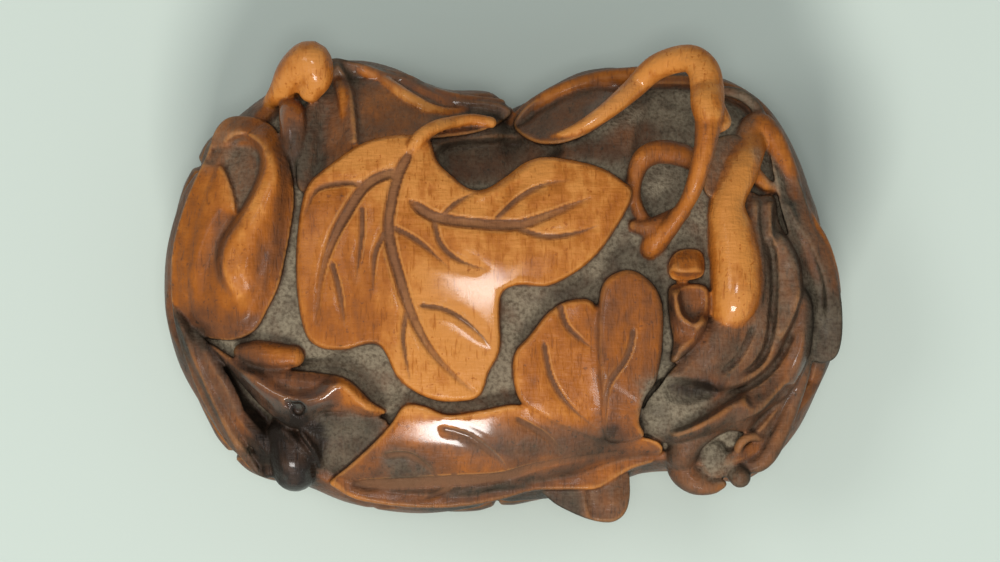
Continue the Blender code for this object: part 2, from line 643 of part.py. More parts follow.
def stem(name, route):
    """Makes a stem, tendril or pod: a tube whose thickness changes along its way over the ground."""
    plan = smooth_path(route)
    xy = on_plan(plan[:, :2])
    height = ground_height(xy) + plan[:, 2] * UNIT
    run = rounded_ends(np.column_stack([xy, height, plan[:, 3] * UNIT]))
    curve = bpy.data.curves.new(name, "CURVE")
    curve.dimensions = "3D"
    curve.bevel_depth = 1.0
    curve.bevel_resolution = 5
    curve.use_fill_caps = True
    spline = curve.splines.new("POLY")
    spline.points.add(len(run) - 1)
    for point, (x, y, z, radius) in zip(spline.points, run):
        point.co = (x, y, z, 1.0)
        point.radius = radius
    tube = bpy.data.objects.new(name, curve)
    work.objects.link(tube)
    return dense_object(name, evaluated_mesh(tube))


def wood():
    """Makes the polished boxwood finish."""
    material = bpy.data.materials.new("boxwood")
    material.use_nodes = True
    shader = material.node_tree.nodes["Principled BSDF"]
    shader.inputs["Base Color"].default_value = (0.36, 0.13, 0.04, 1.0)
    shader.inputs["Roughness"].default_value = 0.38
    shader.inputs["Metallic"].default_value = 0.0
    return material


def join_forms(forms):
    """Gathers every form's mesh in one object."""
    gathered = bmesh.new()
    for form in forms:
        gathered.from_mesh(form.data)
    mesh = bpy.data.meshes.new("netsuke")
    gathered.to_mesh(mesh)
    gathered.free()
    for form in forms:
        bpy.data.objects.remove(form)
    return bpy.data.objects.new("netsuke", mesh)


def flat_spot_cutter():
    """Makes the block that cuts the flat spot the netsuke rests on."""
    bpy.ops.mesh.primitive_cube_add(size=1.0)
    block = bpy.context.object
    block.name = "flat_spot_cutter"
    for vertex in block.data.vertices:
        vertex.co.x *= 2.0 * LENGTH
        vertex.co.y *= 2.0 * LENGTH
        vertex.co.z = vertex.co.z * LENGTH - LENGTH / 2.0
    for old in list(block.users_collection):
        old.objects.unlink(block)
    cutters.objects.link(block)
    block.hide_render = True
    block.display_type = "WIRE"
    return block


def netsuke():
    """Carves the netsuke: every form grows into one body, which is smoothed and cut flat below."""
    forms = [body_core()]
    forms += [side_leaf(index, *shape) for index, shape in enumerate(SIDE_LEAVES)]
    forms += [leaf(name, **shape) for name, shape in LEAVES.items()]
    forms += [stem(name, route) for name, route in STEMS.items()]
    carving = join_forms(forms)
    parts.objects.link(carving)
    carving.data.materials.append(wood())
    grow = carving.modifiers.new("grow together", "REMESH")
    grow.mode = "VOXEL"
    grow.voxel_size = BODY_VOXEL
    skin = carving.modifiers.new("ease", "SMOOTH")
    skin.factor = 0.5
    skin.iterations = 1
    depsgraph = bpy.context.evaluated_depsgraph_get()
    faces = sum(len(face.vertices) - 2 for face in carving.evaluated_get(depsgraph).data.polygons)
    thin = carving.modifiers.new("fewer faces", "DECIMATE")
    thin.ratio = min(1.0, FACE_BUDGET / faces)
    flat = carving.modifiers.new("flat spot", "BOOLEAN")
    flat.object = flat_spot_cutter()
    flat.operation = "DIFFERENCE"
    return carving


clear_scene()
parts = collection("carved_netsuke")
cutters = collection("cutters")
work = collection("forms")
netsuke()
bpy.data.collections.remove(work)
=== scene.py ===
"""Looks of a carved boxwood netsuke: its fine carving, its polished and dusty wood, and a plain studio."""

import logging
import math
from dataclasses import dataclass, field
from enum import Enum

import bmesh
import bpy
import numpy as np
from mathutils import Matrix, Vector
from mathutils.kdtree import KDTree


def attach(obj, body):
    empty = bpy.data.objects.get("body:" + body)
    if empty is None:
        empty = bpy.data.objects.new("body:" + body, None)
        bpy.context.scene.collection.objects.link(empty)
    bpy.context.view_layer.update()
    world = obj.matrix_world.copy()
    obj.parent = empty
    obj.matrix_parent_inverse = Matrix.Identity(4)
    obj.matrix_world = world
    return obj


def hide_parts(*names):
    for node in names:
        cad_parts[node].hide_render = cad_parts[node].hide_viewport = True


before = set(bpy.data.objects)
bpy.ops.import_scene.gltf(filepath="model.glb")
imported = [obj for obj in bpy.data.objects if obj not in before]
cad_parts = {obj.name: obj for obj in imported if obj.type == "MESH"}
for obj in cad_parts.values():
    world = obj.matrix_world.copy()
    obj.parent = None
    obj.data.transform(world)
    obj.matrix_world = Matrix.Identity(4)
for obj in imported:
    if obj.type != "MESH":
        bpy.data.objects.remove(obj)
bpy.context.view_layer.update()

log = logging.getLogger("netsuke")

Route = tuple[tuple[float, ...], ...]
NODE = "netsuke"


class Tone(Enum):
    """Shade of wood that a form carries: how light its honey colour is, and how dusty it has become."""

    GOLD = (1.0, 0.0)
    PALE = (0.88, 0.0)
    HONEY = (0.76, 0.0)
    AMBER = (0.6, 0.0)
    RUSSET = (0.44, 0.16)
    UMBER = (0.27, 0.22)
    SOOT = (0.02, 0.1)
    GROUND = (0.18, 1.0)
    SIDE = (0.56, 0.05)


def smooth_step(t: np.ndarray) -> np.ndarray:
    """Eases from 0 to 1."""
    t = np.clip(t, 0.0, 1.0)
    return t * t * (3.0 - 2.0 * t)


def smooth_path(points: Route, closed: bool = False, steps: int = 6) -> np.ndarray:
    """Runs a smooth curve through points of any dimension.

    Args:
        points: The points that the curve passes through.
        closed: Whether the curve returns to its first point.
        steps: How many points are read from each stretch.

    Returns:
        The curve's points, one row each.
    """
    knots = np.array(points, float)
    count = len(knots)
    spans = count if closed else count - 1
    t = np.linspace(0.0, 1.0, steps, endpoint=False)[:, None]
    run = []
    for i in range(spans):
        if closed:
            a, b, c, d = (knots[(i + k) % count] for k in (-1, 0, 1, 2))
        else:
            a, b, c, d = (knots[min(max(i + k, 0), count - 1)] for k in (-1, 0, 1, 2))
        bend = 2 * a - 5 * b + 4 * c - d
        twist = 3 * b - 3 * c + d - a
        run.append(0.5 * (2 * b + (c - a) * t + bend * t**2 + twist * t**3))
    if not closed:
        run.append(knots[-1:])
    return np.vstack(run)


def distance_to_path(xy: np.ndarray, path: np.ndarray) -> tuple[np.ndarray, np.ndarray, np.ndarray]:
    """Measures how far points lie from a path.

    Args:
        xy: The points, one row each.
        path: The path's points in order.

    Returns:
        Each point's distance, the share of the path passed at its nearest place, and whether the point lies
        to the left as seen from above when moving along the path.
    """
    best = np.full(len(xy), np.inf)
    share = np.zeros(len(xy))
    left = np.zeros(len(xy), bool)
    spans = len(path) - 1
    for i in range(spans):
        start, run = path[i], path[i + 1] - path[i]
        t = np.clip(((xy - start) @ run) / max(run @ run, 1e-18), 0.0, 1.0)
        off = xy - start - t[:, None] * run
        gap = np.hypot(off[:, 0], off[:, 1])
        nearer = gap < best
        best[nearer] = gap[nearer]
        share[nearer] = (i + t[nearer]) / spans
        left[nearer] = (run[0] * off[nearer, 1] - run[1] * off[nearer, 0]) > 0.0
    return best, share, left


def inside_outline(xy: np.ndarray, outline: np.ndarray) -> np.ndarray:
    """Tells which points lie inside a closed outline.

    Args:
        xy: The points, one row each.
        outline: The outline's corners in order.

    Returns:
        True for each point inside.
    """
    inside = np.zeros(len(xy), bool)
    for a, b in zip(outline, np.roll(outline, -1, axis=0)):
        crosses = (a[1] > xy[:, 1]) != (b[1] > xy[:, 1])
        with np.errstate(divide="ignore", invalid="ignore"):
            cut = (b[0] - a[0]) * (xy[:, 1] - a[1]) / (b[1] - a[1]) + a[0]
        inside ^= crosses & (xy[:, 0] < cut)
    return inside


@dataclass(frozen=True)
class Plan:
    """Drawing of the netsuke from above: 673 units to its length, x to the right and y to the front."""

    length: float = 0.050
    units: float = 673.0
    middle: tuple[float, float] = (506.5, 283.0)

    @property
    def unit(self) -> float:
        """Size of one plan unit in metres."""
        return self.length / self.units

    def place(self, points: np.ndarray) -> np.ndarray:
        """Turns plan units into metres about the middle.

        Args:
            points: Plan points, one row each.

        Returns:
            The same points in metres.
        """
        points = np.asarray(points, float)
        x = (points[:, 0] - self.middle[0]) * self.unit
        y = (self.middle[1] - points[:, 1]) * self.unit
        return np.column_stack([x, y])

    def outline(self, points: Route) -> np.ndarray:
        """Draws a smooth closed outline in metres, its first point repeated at the end."""
        rim = self.place(smooth_path(points, closed=True))
        return np.vstack([rim, rim[:1]])


@dataclass(frozen=True)
class Fold:
    """Ridge, or groove where height is below zero, along a route on a form."""

    route: Route
    half_width: float
    height: float
    pointed: bool = True

    def lift(self, xy: np.ndarray, plan: Plan) -> np.ndarray:
        """Gives the height that the fold adds at each point.

        Args:
            xy: The points in metres.
            plan: The plan that the route is drawn on.

        Returns:
            The added height in metres.
        """
        gap, share, _ = distance_to_path(xy, plan.place(smooth_path(self.route)))
        ends = np.minimum(share * 8.0 + 0.5, (1.0 - share) * 3.0 + 0.2) if self.pointed else np.ones(len(xy))
        taper = smooth_step(ends)
        width = self.half_width * plan.unit * (0.45 + 0.55 * taper)
        return self.height * plan.unit * taper * smooth_step(1.0 - gap / width)


@dataclass(frozen=True)
class Groove:
    """Cut vein: a flat-bottomed groove that narrows to its end, steeper on its left, with a raised left lip."""

    route: Route
    half_width: float
    lip_width: float

    def shares(self, xy: np.ndarray, plan: Plan) -> tuple[np.ndarray, np.ndarray]:
        """Gives how fully each point lies in the cut, and on its lip, from 0 to 1.

        Args:
            xy: The points in metres.
            plan: The plan that the route is drawn on.

        Returns:
            The cut's share and the lip's share at each point.
        """
        gap, share, left = distance_to_path(xy, plan.place(smooth_path(self.route)))
        gap = gap / plan.unit
        taper = smooth_step(np.minimum(share * 8.0 + 0.35, (1.0 - share) * 1.8 + 0.08))
        width = self.half_width * (0.3 + 0.7 * taper)
        slope = np.where(left, 1.0, 3.4)
        cut = smooth_step((width - gap) / slope + 0.5) * (0.25 + 0.75 * taper)
        lip = np.where(left, smooth_step(1.0 - np.abs(gap - width - 1.0) / self.lip_width), 0.0) * taper
        return cut, lip


@dataclass(frozen=True)
class Crest:
    """Ridge that falls off at a different width on each side of its route, as the edge of a curled petal."""

    route: Route
    left_width: float
    right_width: float
    height: float

    def lift(self, xy: np.ndarray, plan: Plan) -> np.ndarray:
        """Gives the height that the crest adds at each point.

        Args:
            xy: The points in metres.
            plan: The plan that the route is drawn on.

        Returns:
            The added height in metres.
        """
        gap, share, left = distance_to_path(xy, plan.place(smooth_path(self.route)))
        width = np.where(left, self.left_width, self.right_width) * plan.unit
        taper = smooth_step(np.minimum(share, 1.0 - share) * 7.0 + 0.15)
        return self.height * plan.unit * taper * smooth_step(1.0 - gap / width)


@dataclass(frozen=True)
class Hollow:
    """Sunk field, or raised where depth is below zero, inside an outline on a form."""

    outline: Route
    depth: float
    edge: float

    def share(self, xy: np.ndarray, plan: Plan) -> np.ndarray:
        """Gives how fully each point lies in the field, from 0 to 1.

        Args:
            xy: The points in metres.
            plan: The plan that the outline is drawn on.

        Returns:
            The share at each point.
        """
        rim = plan.outline(self.outline)
        gap, _, _ = distance_to_path(xy, rim)
        signed = np.where(inside_outline(xy, rim[:-1]), gap, -gap)
        return smooth_step(signed / (self.edge * plan.unit) + 0.5)

    def lift(self, xy: np.ndarray, plan: Plan) -> np.ndarray:
        """Gives the height that the field adds at each point, which is below zero where it sinks."""
        return -self.depth * plan.unit * self.share(xy, plan)


@dataclass(frozen=True)
class StainAndShadePatch:
    """Patch of the face whose wood is paler, dustier or glossier than the form it lies on, or less so; most are
    real discolouring, dust and polish, some painted light and shade.
    """

    outline: Route
    honey: float
    dust: float = 0.0
    edge: float = 14.0
    gloss: float = 0.0

    def share(self, xy: np.ndarray, plan: Plan) -> np.ndarray:
        """Gives how fully each point lies in the patch, from 0 to 1."""
        return Hollow(self.outline, 0.0, self.edge).share(xy, plan)


def read_rows(mesh: bpy.types.Mesh, kind: str = "co") -> np.ndarray:
    """Reads the places of a mesh's points, or their normals, one row each."""
    rows = np.empty(len(mesh.vertices) * 3)
    mesh.vertices.foreach_get(kind, rows)
    return rows.reshape(-1, 3)


def write_places(mesh: bpy.types.Mesh, points: np.ndarray) -> None:
    """Moves a mesh's points to new places."""
    mesh.vertices.foreach_set("co", points.ravel())
    mesh.update()


def store(mesh: bpy.types.Mesh, name: str, values: np.ndarray) -> None:
    """Stores one value for each point of a mesh under a name."""
    mesh.attributes.new(name, "FLOAT", "POINT").data.foreach_set("value", values)


class Neighbours:
    """The points that the edges of a mesh join."""

    def __init__(self, mesh: bpy.types.Mesh) -> None:
        """Reads both ends of each edge."""
        ends = np.empty(len(mesh.edges) * 2, int)
        mesh.edges.foreach_get("vertices", ends)
        self.one, self.two = ends.reshape(-1, 2).T
        self.count = len(mesh.vertices)
        met = np.bincount(self.one, minlength=self.count) + np.bincount(self.two, minlength=self.count)
        self.links = np.maximum(met, 1)

    def mean(self, values: np.ndarray) -> np.ndarray:
        """Gives each point the mean value of the points round it."""
        near = np.bincount(self.one, values[self.two], self.count)
        return (near + np.bincount(self.two, values[self.one], self.count)) / self.links


class Form:
    """One closed shape of the carving, as a mesh with an even skin of small faces."""

    def __init__(self, name: str, tone: Tone, mesh: bpy.types.Mesh) -> None:
        """Keeps the mesh and reads its points.

        Args:
            name: What the form is.
            tone: The shade of its wood.
            mesh: Its closed mesh.
        """
        self.name = name
        self.tone = tone
        self.mesh = mesh
        self.points = read_rows(mesh)

    def upward(self) -> np.ndarray:
        """Gives how far each point faces up, from 0 to 1."""
        return smooth_step(read_rows(self.mesh, "normal")[:, 2] / 0.6)

    def settle(self) -> None:
        """Writes the moved points back to the mesh."""
        write_places(self.mesh, self.points)


def take_copy(source: bpy.types.Object) -> bpy.types.Mesh:
    """Reads an object's mesh as its modifiers leave it."""
    depsgraph = bpy.context.evaluated_depsgraph_get()
    return bpy.data.meshes.new_from_object(source.evaluated_get(depsgraph))


def take_mesh(source: bpy.types.Object) -> bpy.types.Mesh:
    """Turns an object with its modifiers into a mesh with welded points, and removes the object.

    Args:
        source: The object.

    Returns:
        Its finished mesh.
    """
    mesh = take_copy(source)
    welded = bmesh.new()
    welded.from_mesh(mesh)
    bmesh.ops.remove_doubles(welded, verts=welded.verts, dist=1e-7)
    welded.to_mesh(mesh)
    welded.free()
    bpy.data.objects.remove(source)
    return mesh


def even_skin(mesh: bpy.types.Mesh, voxel: float) -> bpy.types.Mesh:
    """Gives a closed mesh an even skin of small faces.

    Args:
        mesh: The closed mesh.
        voxel: The width of a face in metres.

    Returns:
        The new mesh.
    """
    holder = bpy.data.objects.new("holder", mesh)
    bpy.context.scene.collection.objects.link(holder)
    skin = holder.modifiers.new("skin", "REMESH")
    skin.mode = "VOXEL"
    skin.voxel_size = voxel
    return take_mesh(holder)


@dataclass
class Ground:
    """Rounded body that carries the carving, and the ground that shows between the leaves."""

    plan: Plan
    voxel: float
    mid_height: float = 0.0105
    dome_rise: float = 0.0078
    flat_cut: float = 0.0006
    power: float = 2.2
    rim_share: float = 0.97
    body: Route = (
        (178, 300), (180, 250), (192, 200), (214, 152), (247, 124), (285, 98), (325, 76), (370, 72), (412, 84),
        (450, 102), (490, 106), (514, 121), (545, 102), (585, 82), (640, 78), (700, 84), (738, 100), (764, 124),
        (787, 165), (806, 215), (822, 262), (828, 305), (820, 350), (805, 385), (785, 425), (758, 458),
        (722, 474), (670, 462), (630, 464), (580, 480), (530, 488), (470, 498), (410, 500), (358, 492),
        (318, 478), (275, 470), (242, 450), (218, 412), (196, 370), (184, 335),
    )
    reliefs: tuple[Fold | Crest | Hollow, ...] = (
        Hollow(((440, 150), (520, 140), (560, 150), (530, 172), (490, 200), (455, 192)), 18, 12),
        Hollow(((640, 120), (690, 100), (700, 150), (680, 210), (640, 215)), 8, 12),
        Hollow(((645, 385), (700, 380), (725, 395), (690, 420), (650, 432)), 18, 12),
        Hollow(((704, 446), (722, 442), (732, 464), (722, 478), (700, 474)), 12, 8),
        Hollow(((300, 360), (385, 352), (398, 395), (370, 402), (340, 375)), 8, 10),
        Hollow(((212, 352), (226, 356), (252, 386), (276, 420), (270, 438), (250, 430), (238, 400)), 12, 10),
        Fold(((303, 366), (325, 365), (345, 367), (364, 375)), 4, 5),
    )

    def __post_init__(self) -> None:
        """Works out the body's plan radius in each direction."""
        rim = self.plan.place(smooth_path(self.body, closed=True))
        around = np.arctan2(rim[:, 1], rim[:, 0])
        order = np.argsort(around)
        self._angles = around[order]
        self._radii = np.hypot(rim[:, 0], rim[:, 1])[order]

    def radius(self, angles: np.ndarray) -> np.ndarray:
        """Gives the body's plan radius in each direction."""
        return np.interp(angles, self._angles, self._radii, period=2 * math.pi)

    def reach(self, xy: np.ndarray) -> np.ndarray:
        """Gives each plan point's distance from the middle as a share of the body's radius there."""
        return np.hypot(xy[:, 0], xy[:, 1]) / self.radius(np.arctan2(xy[:, 1], xy[:, 0]))

    def height(self, xy: np.ndarray) -> np.ndarray:
        """Gives the height of the ground at each plan point."""
        reach = np.minimum(self.reach(xy), self.rim_share)
        return self.mid_height + self.dome_rise * (1.0 - reach**self.power) ** (1.0 / self.power)

    def side_place(self, angle: np.ndarray, latitude: np.ndarray, lift: np.ndarray) -> np.ndarray:
        """Places points on the body's sides, lifted off along its outward direction.

        Args:
            angle: Direction about the middle, in radians.
            latitude: Angle above the rim, or below it where negative, in radians.
            lift: Distance off the body in metres.

        Returns:
            The points in metres.
        """
        out = np.cos(latitude) ** (2.0 / self.power)
        rise = np.sign(latitude) * np.abs(np.sin(latitude)) ** (2.0 / self.power)
        radius = self.radius(angle)
        drop = np.where(latitude >= 0, self.dome_rise, self.mid_height + self.flat_cut)
        push_out = out ** (self.power - 1.0) / radius
        push_up = np.sign(rise) * np.abs(rise) ** (self.power - 1.0) / drop
        size = np.hypot(push_out, push_up)
        reach = radius * out + lift * push_out / size
        level = self.mid_height + drop * rise + lift * push_up / size
        return np.column_stack([np.cos(angle) * reach, np.sin(angle) * reach, level])

    def build(self) -> Form:
        """Makes the body from a sphere drawn out to the plan, and sinks the ground's hollows.

        Returns:
            The body as a form.
        """
        bpy.ops.mesh.primitive_uv_sphere_add(segments=256, ring_count=160, radius=1.0)
        ball = bpy.context.object
        unit = read_rows(ball.data)
        angle = np.arctan2(unit[:, 1], unit[:, 0])
        latitude = np.arcsin(np.clip(unit[:, 2], -1.0, 1.0))
        latitude = np.where(np.abs(latitude) > 1.5706, np.sign(latitude) * 1.5706, latitude)
        placed = self.side_place(angle, latitude, np.zeros(len(unit)))
        ball.data.vertices.foreach_set("co", placed.ravel())
        form = Form("ground", Tone.GROUND, even_skin(take_mesh(ball), self.voxel))
        upward = form.upward()
        for relief in self.reliefs:
            form.points[:, 2] += upward * relief.lift(form.points[:, :2], self.plan)
        form.settle()
        return form


@dataclass
class Slab:
    """Flat blank with an even skin, cut along an outline."""

    name: str
    rim: np.ndarray
    top: float
    bottom: float

    def build(self, voxel: float) -> bpy.types.Mesh:
        """Fills the outline as a flat curve, gives it its thickness and an even skin.

        Args:
            voxel: The width of a face in metres.

        Returns:
            The blank's mesh.
        """
        curve = bpy.data.curves.new(self.name, "CURVE")
        curve.dimensions = "2D"
        curve.fill_mode = "BOTH"
        curve.extrude = (self.top - self.bottom) / 2.0
        corners = self.rim[:-1]
        spline = curve.splines.new("POLY")
        spline.points.add(len(corners) - 1)
        for point, (x, y) in zip(spline.points, corners):
            point.co = (x, y, 0.0, 1.0)
        spline.use_cyclic_u = True
        blank = bpy.data.objects.new(self.name, curve)
        bpy.context.scene.collection.objects.link(blank)
        mesh = even_skin(take_mesh(blank), voxel)
        mesh.transform(((1, 0, 0, 0), (0, 1, 0, 0), (0, 0, 1, (self.top + self.bottom) / 2.0), (0, 0, 0, 1)))
        return mesh


@dataclass
class Leaf:
    """Leaf that lies on the ground, with a rounded edge, a dished face and cut veins."""

    name: str
    tone: Tone
    outline: Route
    veins: tuple[Route, ...] = ()
    ribs: tuple[Route, ...] = ()
    lift: float = 0.0017
    root: float = 0.0014
    dish: float = 0.0
    wrap: float = 1.0
    edge_round: float = 0.00010
    vein_width: float = 2.6
    vein_depth: float = 1.7
    rib_width: float = 5.4
    rib_depth: float = 2.8
    lip_width: float = 2.6
    lip_height: float = 0.5
    trough_width: float = 13.0
    trough_depth: float = 1.2
    face_band: float = 0.0008
    rim_tuck: float = 0.07
    rim_wrap: float = 0.0022
    reliefs: tuple[Fold | Crest | Hollow, ...] = ()

    def build(self, ground: Ground, voxel: float) -> Form:
        """Cuts the blank, carves its face and lays it on the ground.

        Args:
            ground: The body that carries the leaf.
            voxel: The width of a face in metres.

        Returns:
            The leaf as a form.
        """
        plan = ground.plan
        rim = plan.outline(self.outline)
        form = Form(self.name, self.tone, Slab(self.name, rim, self.lift, -self.root).build(voxel))
        xy = form.points[:, :2].copy()
        level = form.points[:, 2].copy()
        upper = smooth_step(level / self.lift)
        inset, _, _ = distance_to_path(xy, rim)
        fall = self.edge_round * (1.0 - smooth_step(inset / (2.0 * self.edge_round)))
        sink = self.dish * plan.unit * smooth_step(inset / (abs(self.dish) * 3.0 * plan.unit + 1e-9))
        face = -fall - sink
        for route in self.veins + self.ribs:
            face += Fold(route, self.trough_width, -self.trough_depth).lift(xy, plan)
        for relief in self.reliefs:
            face += relief.lift(xy, plan)
        near_rim = smooth_step((ground.reach(xy) - 0.82) / 0.16)
        depth = np.clip(-level / self.root, 0.0, 1.0)
        form.points[:, :2] *= (1.0 - self.rim_tuck * near_rim * depth)[:, None]
        form.points[:, 2] += upper * face + ground.height(xy) - near_rim * depth * self.wrap * self.rim_wrap
        form.settle()
        return form

    def engrave(self, points: np.ndarray, upward: np.ndarray, ground: Ground, vein: np.ndarray) -> None:
        """Cuts the veins into the carving's skin where it is this leaf's face.

        Args:
            points: The skin's points, which are moved.
            upward: How far each point faces up.
            ground: The body that carries the leaf.
            vein: How fully each point lies in a vein, which is filled in.
        """
        plan = ground.plan
        rim = plan.outline(self.outline)
        low, high = rim.min(0), rim.max(0)
        near = np.where(((points[:, :2] > low) & (points[:, :2] < high)).all(1) & (upward > 0.2))[0]
        xy = points[near, :2]
        near = near[inside_outline(xy, rim[:-1])]
        off = points[near, 2] - ground.height(points[near, :2]) - self.lift
        near = near[np.abs(off) < self.face_band]
        xy = points[near, :2].copy()
        floor = np.zeros(len(near))
        raised = np.zeros(len(near))
        sunk = np.zeros(len(near))
        for routes, width, depth in (
            (self.veins, self.vein_width, self.vein_depth),
            (self.ribs, self.rib_width, self.rib_depth),
        ):
            for route in routes:
                cut, lip = Groove(route, width, self.lip_width).shares(xy, plan)
                floor = np.maximum(floor, cut)
                raised = np.maximum(raised, lip)
                sunk = np.maximum(sunk, cut * depth)
        points[near, 2] += plan.unit * (self.lip_height * raised * (1.0 - floor) - sunk)
        vein[near] = np.maximum(vein[near], floor)


@dataclass
class SideLeaf:
    """Pointed leaf with a midrib and side veins, wrapped round the body from its rim downwards."""

    name: str
    direction: float
    root_latitude: float
    tip_latitude: float
    half_width: float
    turn: float
    lift: float = 0.0009
    root: float = 0.0014
    edge_round: float = 0.0004
    vein_width: float = 0.00042
    vein_depth: float = 0.0005
    span: float = 0.016
    laterals: int = 4

    def _flat(self, ground: Ground, share: float, offset: float) -> tuple[float, float]:
        """Gives a point's flat place, by its share of the leaf's length and its offset in degrees."""
        across = 0.4 * ground.plan.length
        along = self.span * math.radians(abs(self.tip_latitude - self.root_latitude))
        return across * math.radians(self.turn * share * share + offset), -along * share

    def _veins(self, ground: Ground) -> list[np.ndarray]:
        """Draws the midrib and the pairs of side veins."""
        routes = [[self._flat(ground, t, 0.0) for t in (0.1, 0.4, 0.7, 0.95)]]
        for k in range(self.laterals):
            start = 0.22 + 0.15 * k
            for side in (-1.0, 1.0):
                reach = side * self.half_width * (0.72 - 0.12 * k)
                routes.append([
                    self._flat(ground, start, 0.0),
                    self._flat(ground, start + 0.07, 0.5 * reach),
                    self._flat(ground, start + 0.2, reach),
                ])
        return [smooth_path(tuple(route)) for route in routes]

    def build(self, ground: Ground, voxel: float) -> Form:
        """Cuts the flat blank, carves its veins and wraps it round the body.

        Args:
            ground: The body that carries the leaf.
            voxel: The width of a face in metres.

        Returns:
            The leaf as a form.
        """
        shares = np.linspace(0.0, 1.0, 11)
        widths = self.half_width * np.sin(math.pi * shares**0.8) ** 0.8
        edge = [self._flat(ground, t, w) for t, w in zip(shares, widths)]
        edge += [self._flat(ground, t, -w) for t, w in zip(shares[-2:0:-1], widths[-2:0:-1])]
        rim = smooth_path(tuple(edge), closed=True)
        rim = np.vstack([rim, rim[:1]])
        form = Form(self.name, Tone.SIDE, Slab(self.name, rim, self.lift, -self.root).build(voxel))
        xy = form.points[:, :2].copy()
        level = form.points[:, 2].copy()
        outer = smooth_step(level / self.lift)
        inset, _, _ = distance_to_path(xy, rim)
        level -= outer * self.edge_round * (1.0 - smooth_step(inset / (2.0 * self.edge_round)))
        for way in self._veins(ground):
            gap, _, _ = distance_to_path(xy, way)
            level -= outer * self.vein_depth * smooth_step(1.0 - gap / self.vein_width)
            level -= outer * 0.4 * self.vein_depth * smooth_step(1.0 - gap / (4.0 * self.vein_width))
        angle = math.radians(self.direction) + xy[:, 0] / (0.4 * ground.plan.length)
        latitude = math.radians(self.root_latitude) + xy[:, 1] / self.span
        form.points[:] = ground.side_place(angle, latitude, level)
        form.settle()
        return form


@dataclass
class Stem:
    """Stem, tendril, rolled edge or pod: a tube whose thickness changes along its way over the ground.

    Each point of the route is a plan place, the rise of the centre over the ground and the radius, all in
    plan units.
    """

    name: str
    tone: Tone
    route: Route
    reliefs: tuple[Fold | Crest | Hollow, ...] = ()

    def _rounded(self, run: np.ndarray) -> np.ndarray:
        """Closes both ends of a run of places and radii with a quarter round."""
        quarter = np.linspace(0.0, 0.48 * math.pi, 6)[1:]
        caps = []
        for end, inner in ((run[0], run[1]), (run[-1], run[-2])):
            outward = (end[:3] - inner[:3]) / np.linalg.norm(end[:3] - inner[:3])
            places = end[:3] + outward * end[3] * np.sin(quarter)[:, None]
            caps.append(np.column_stack([places, end[3] * np.cos(quarter)]))
        return np.vstack([caps[0][::-1], run, caps[1]])

    def build(self, ground: Ground, voxel: float) -> Form:
        """Sweeps the tube over the ground and carves its folds.

        Args:
            ground: The body that carries the stem.
            voxel: The width of a face in metres.

        Returns:
            The stem as a form.
        """
        plan = ground.plan
        way = smooth_path(self.route)
        xy = plan.place(way[:, :2])
        level = ground.height(xy) + way[:, 2] * plan.unit
        run = self._rounded(np.column_stack([xy, level, way[:, 3] * plan.unit]))
        curve = bpy.data.curves.new(self.name, "CURVE")
        curve.dimensions = "3D"
        curve.bevel_depth = 1.0
        curve.bevel_resolution = 8
        curve.use_fill_caps = True
        spline = curve.splines.new("POLY")
        spline.points.add(len(run) - 1)
        for point, (x, y, z, radius) in zip(spline.points, run):
            point.co = (x, y, z, 1.0)
            point.radius = radius
        tube = bpy.data.objects.new(self.name, curve)
        bpy.context.scene.collection.objects.link(tube)
        form = Form(self.name, self.tone, even_skin(take_mesh(tube), voxel))
        if self.reliefs:
            upward = form.upward()
            plan_points = form.points[:, :2].copy()
            for relief in self.reliefs:
                form.points[:, 2] += upward * relief.lift(plan_points, plan)
            form.settle()
        return form


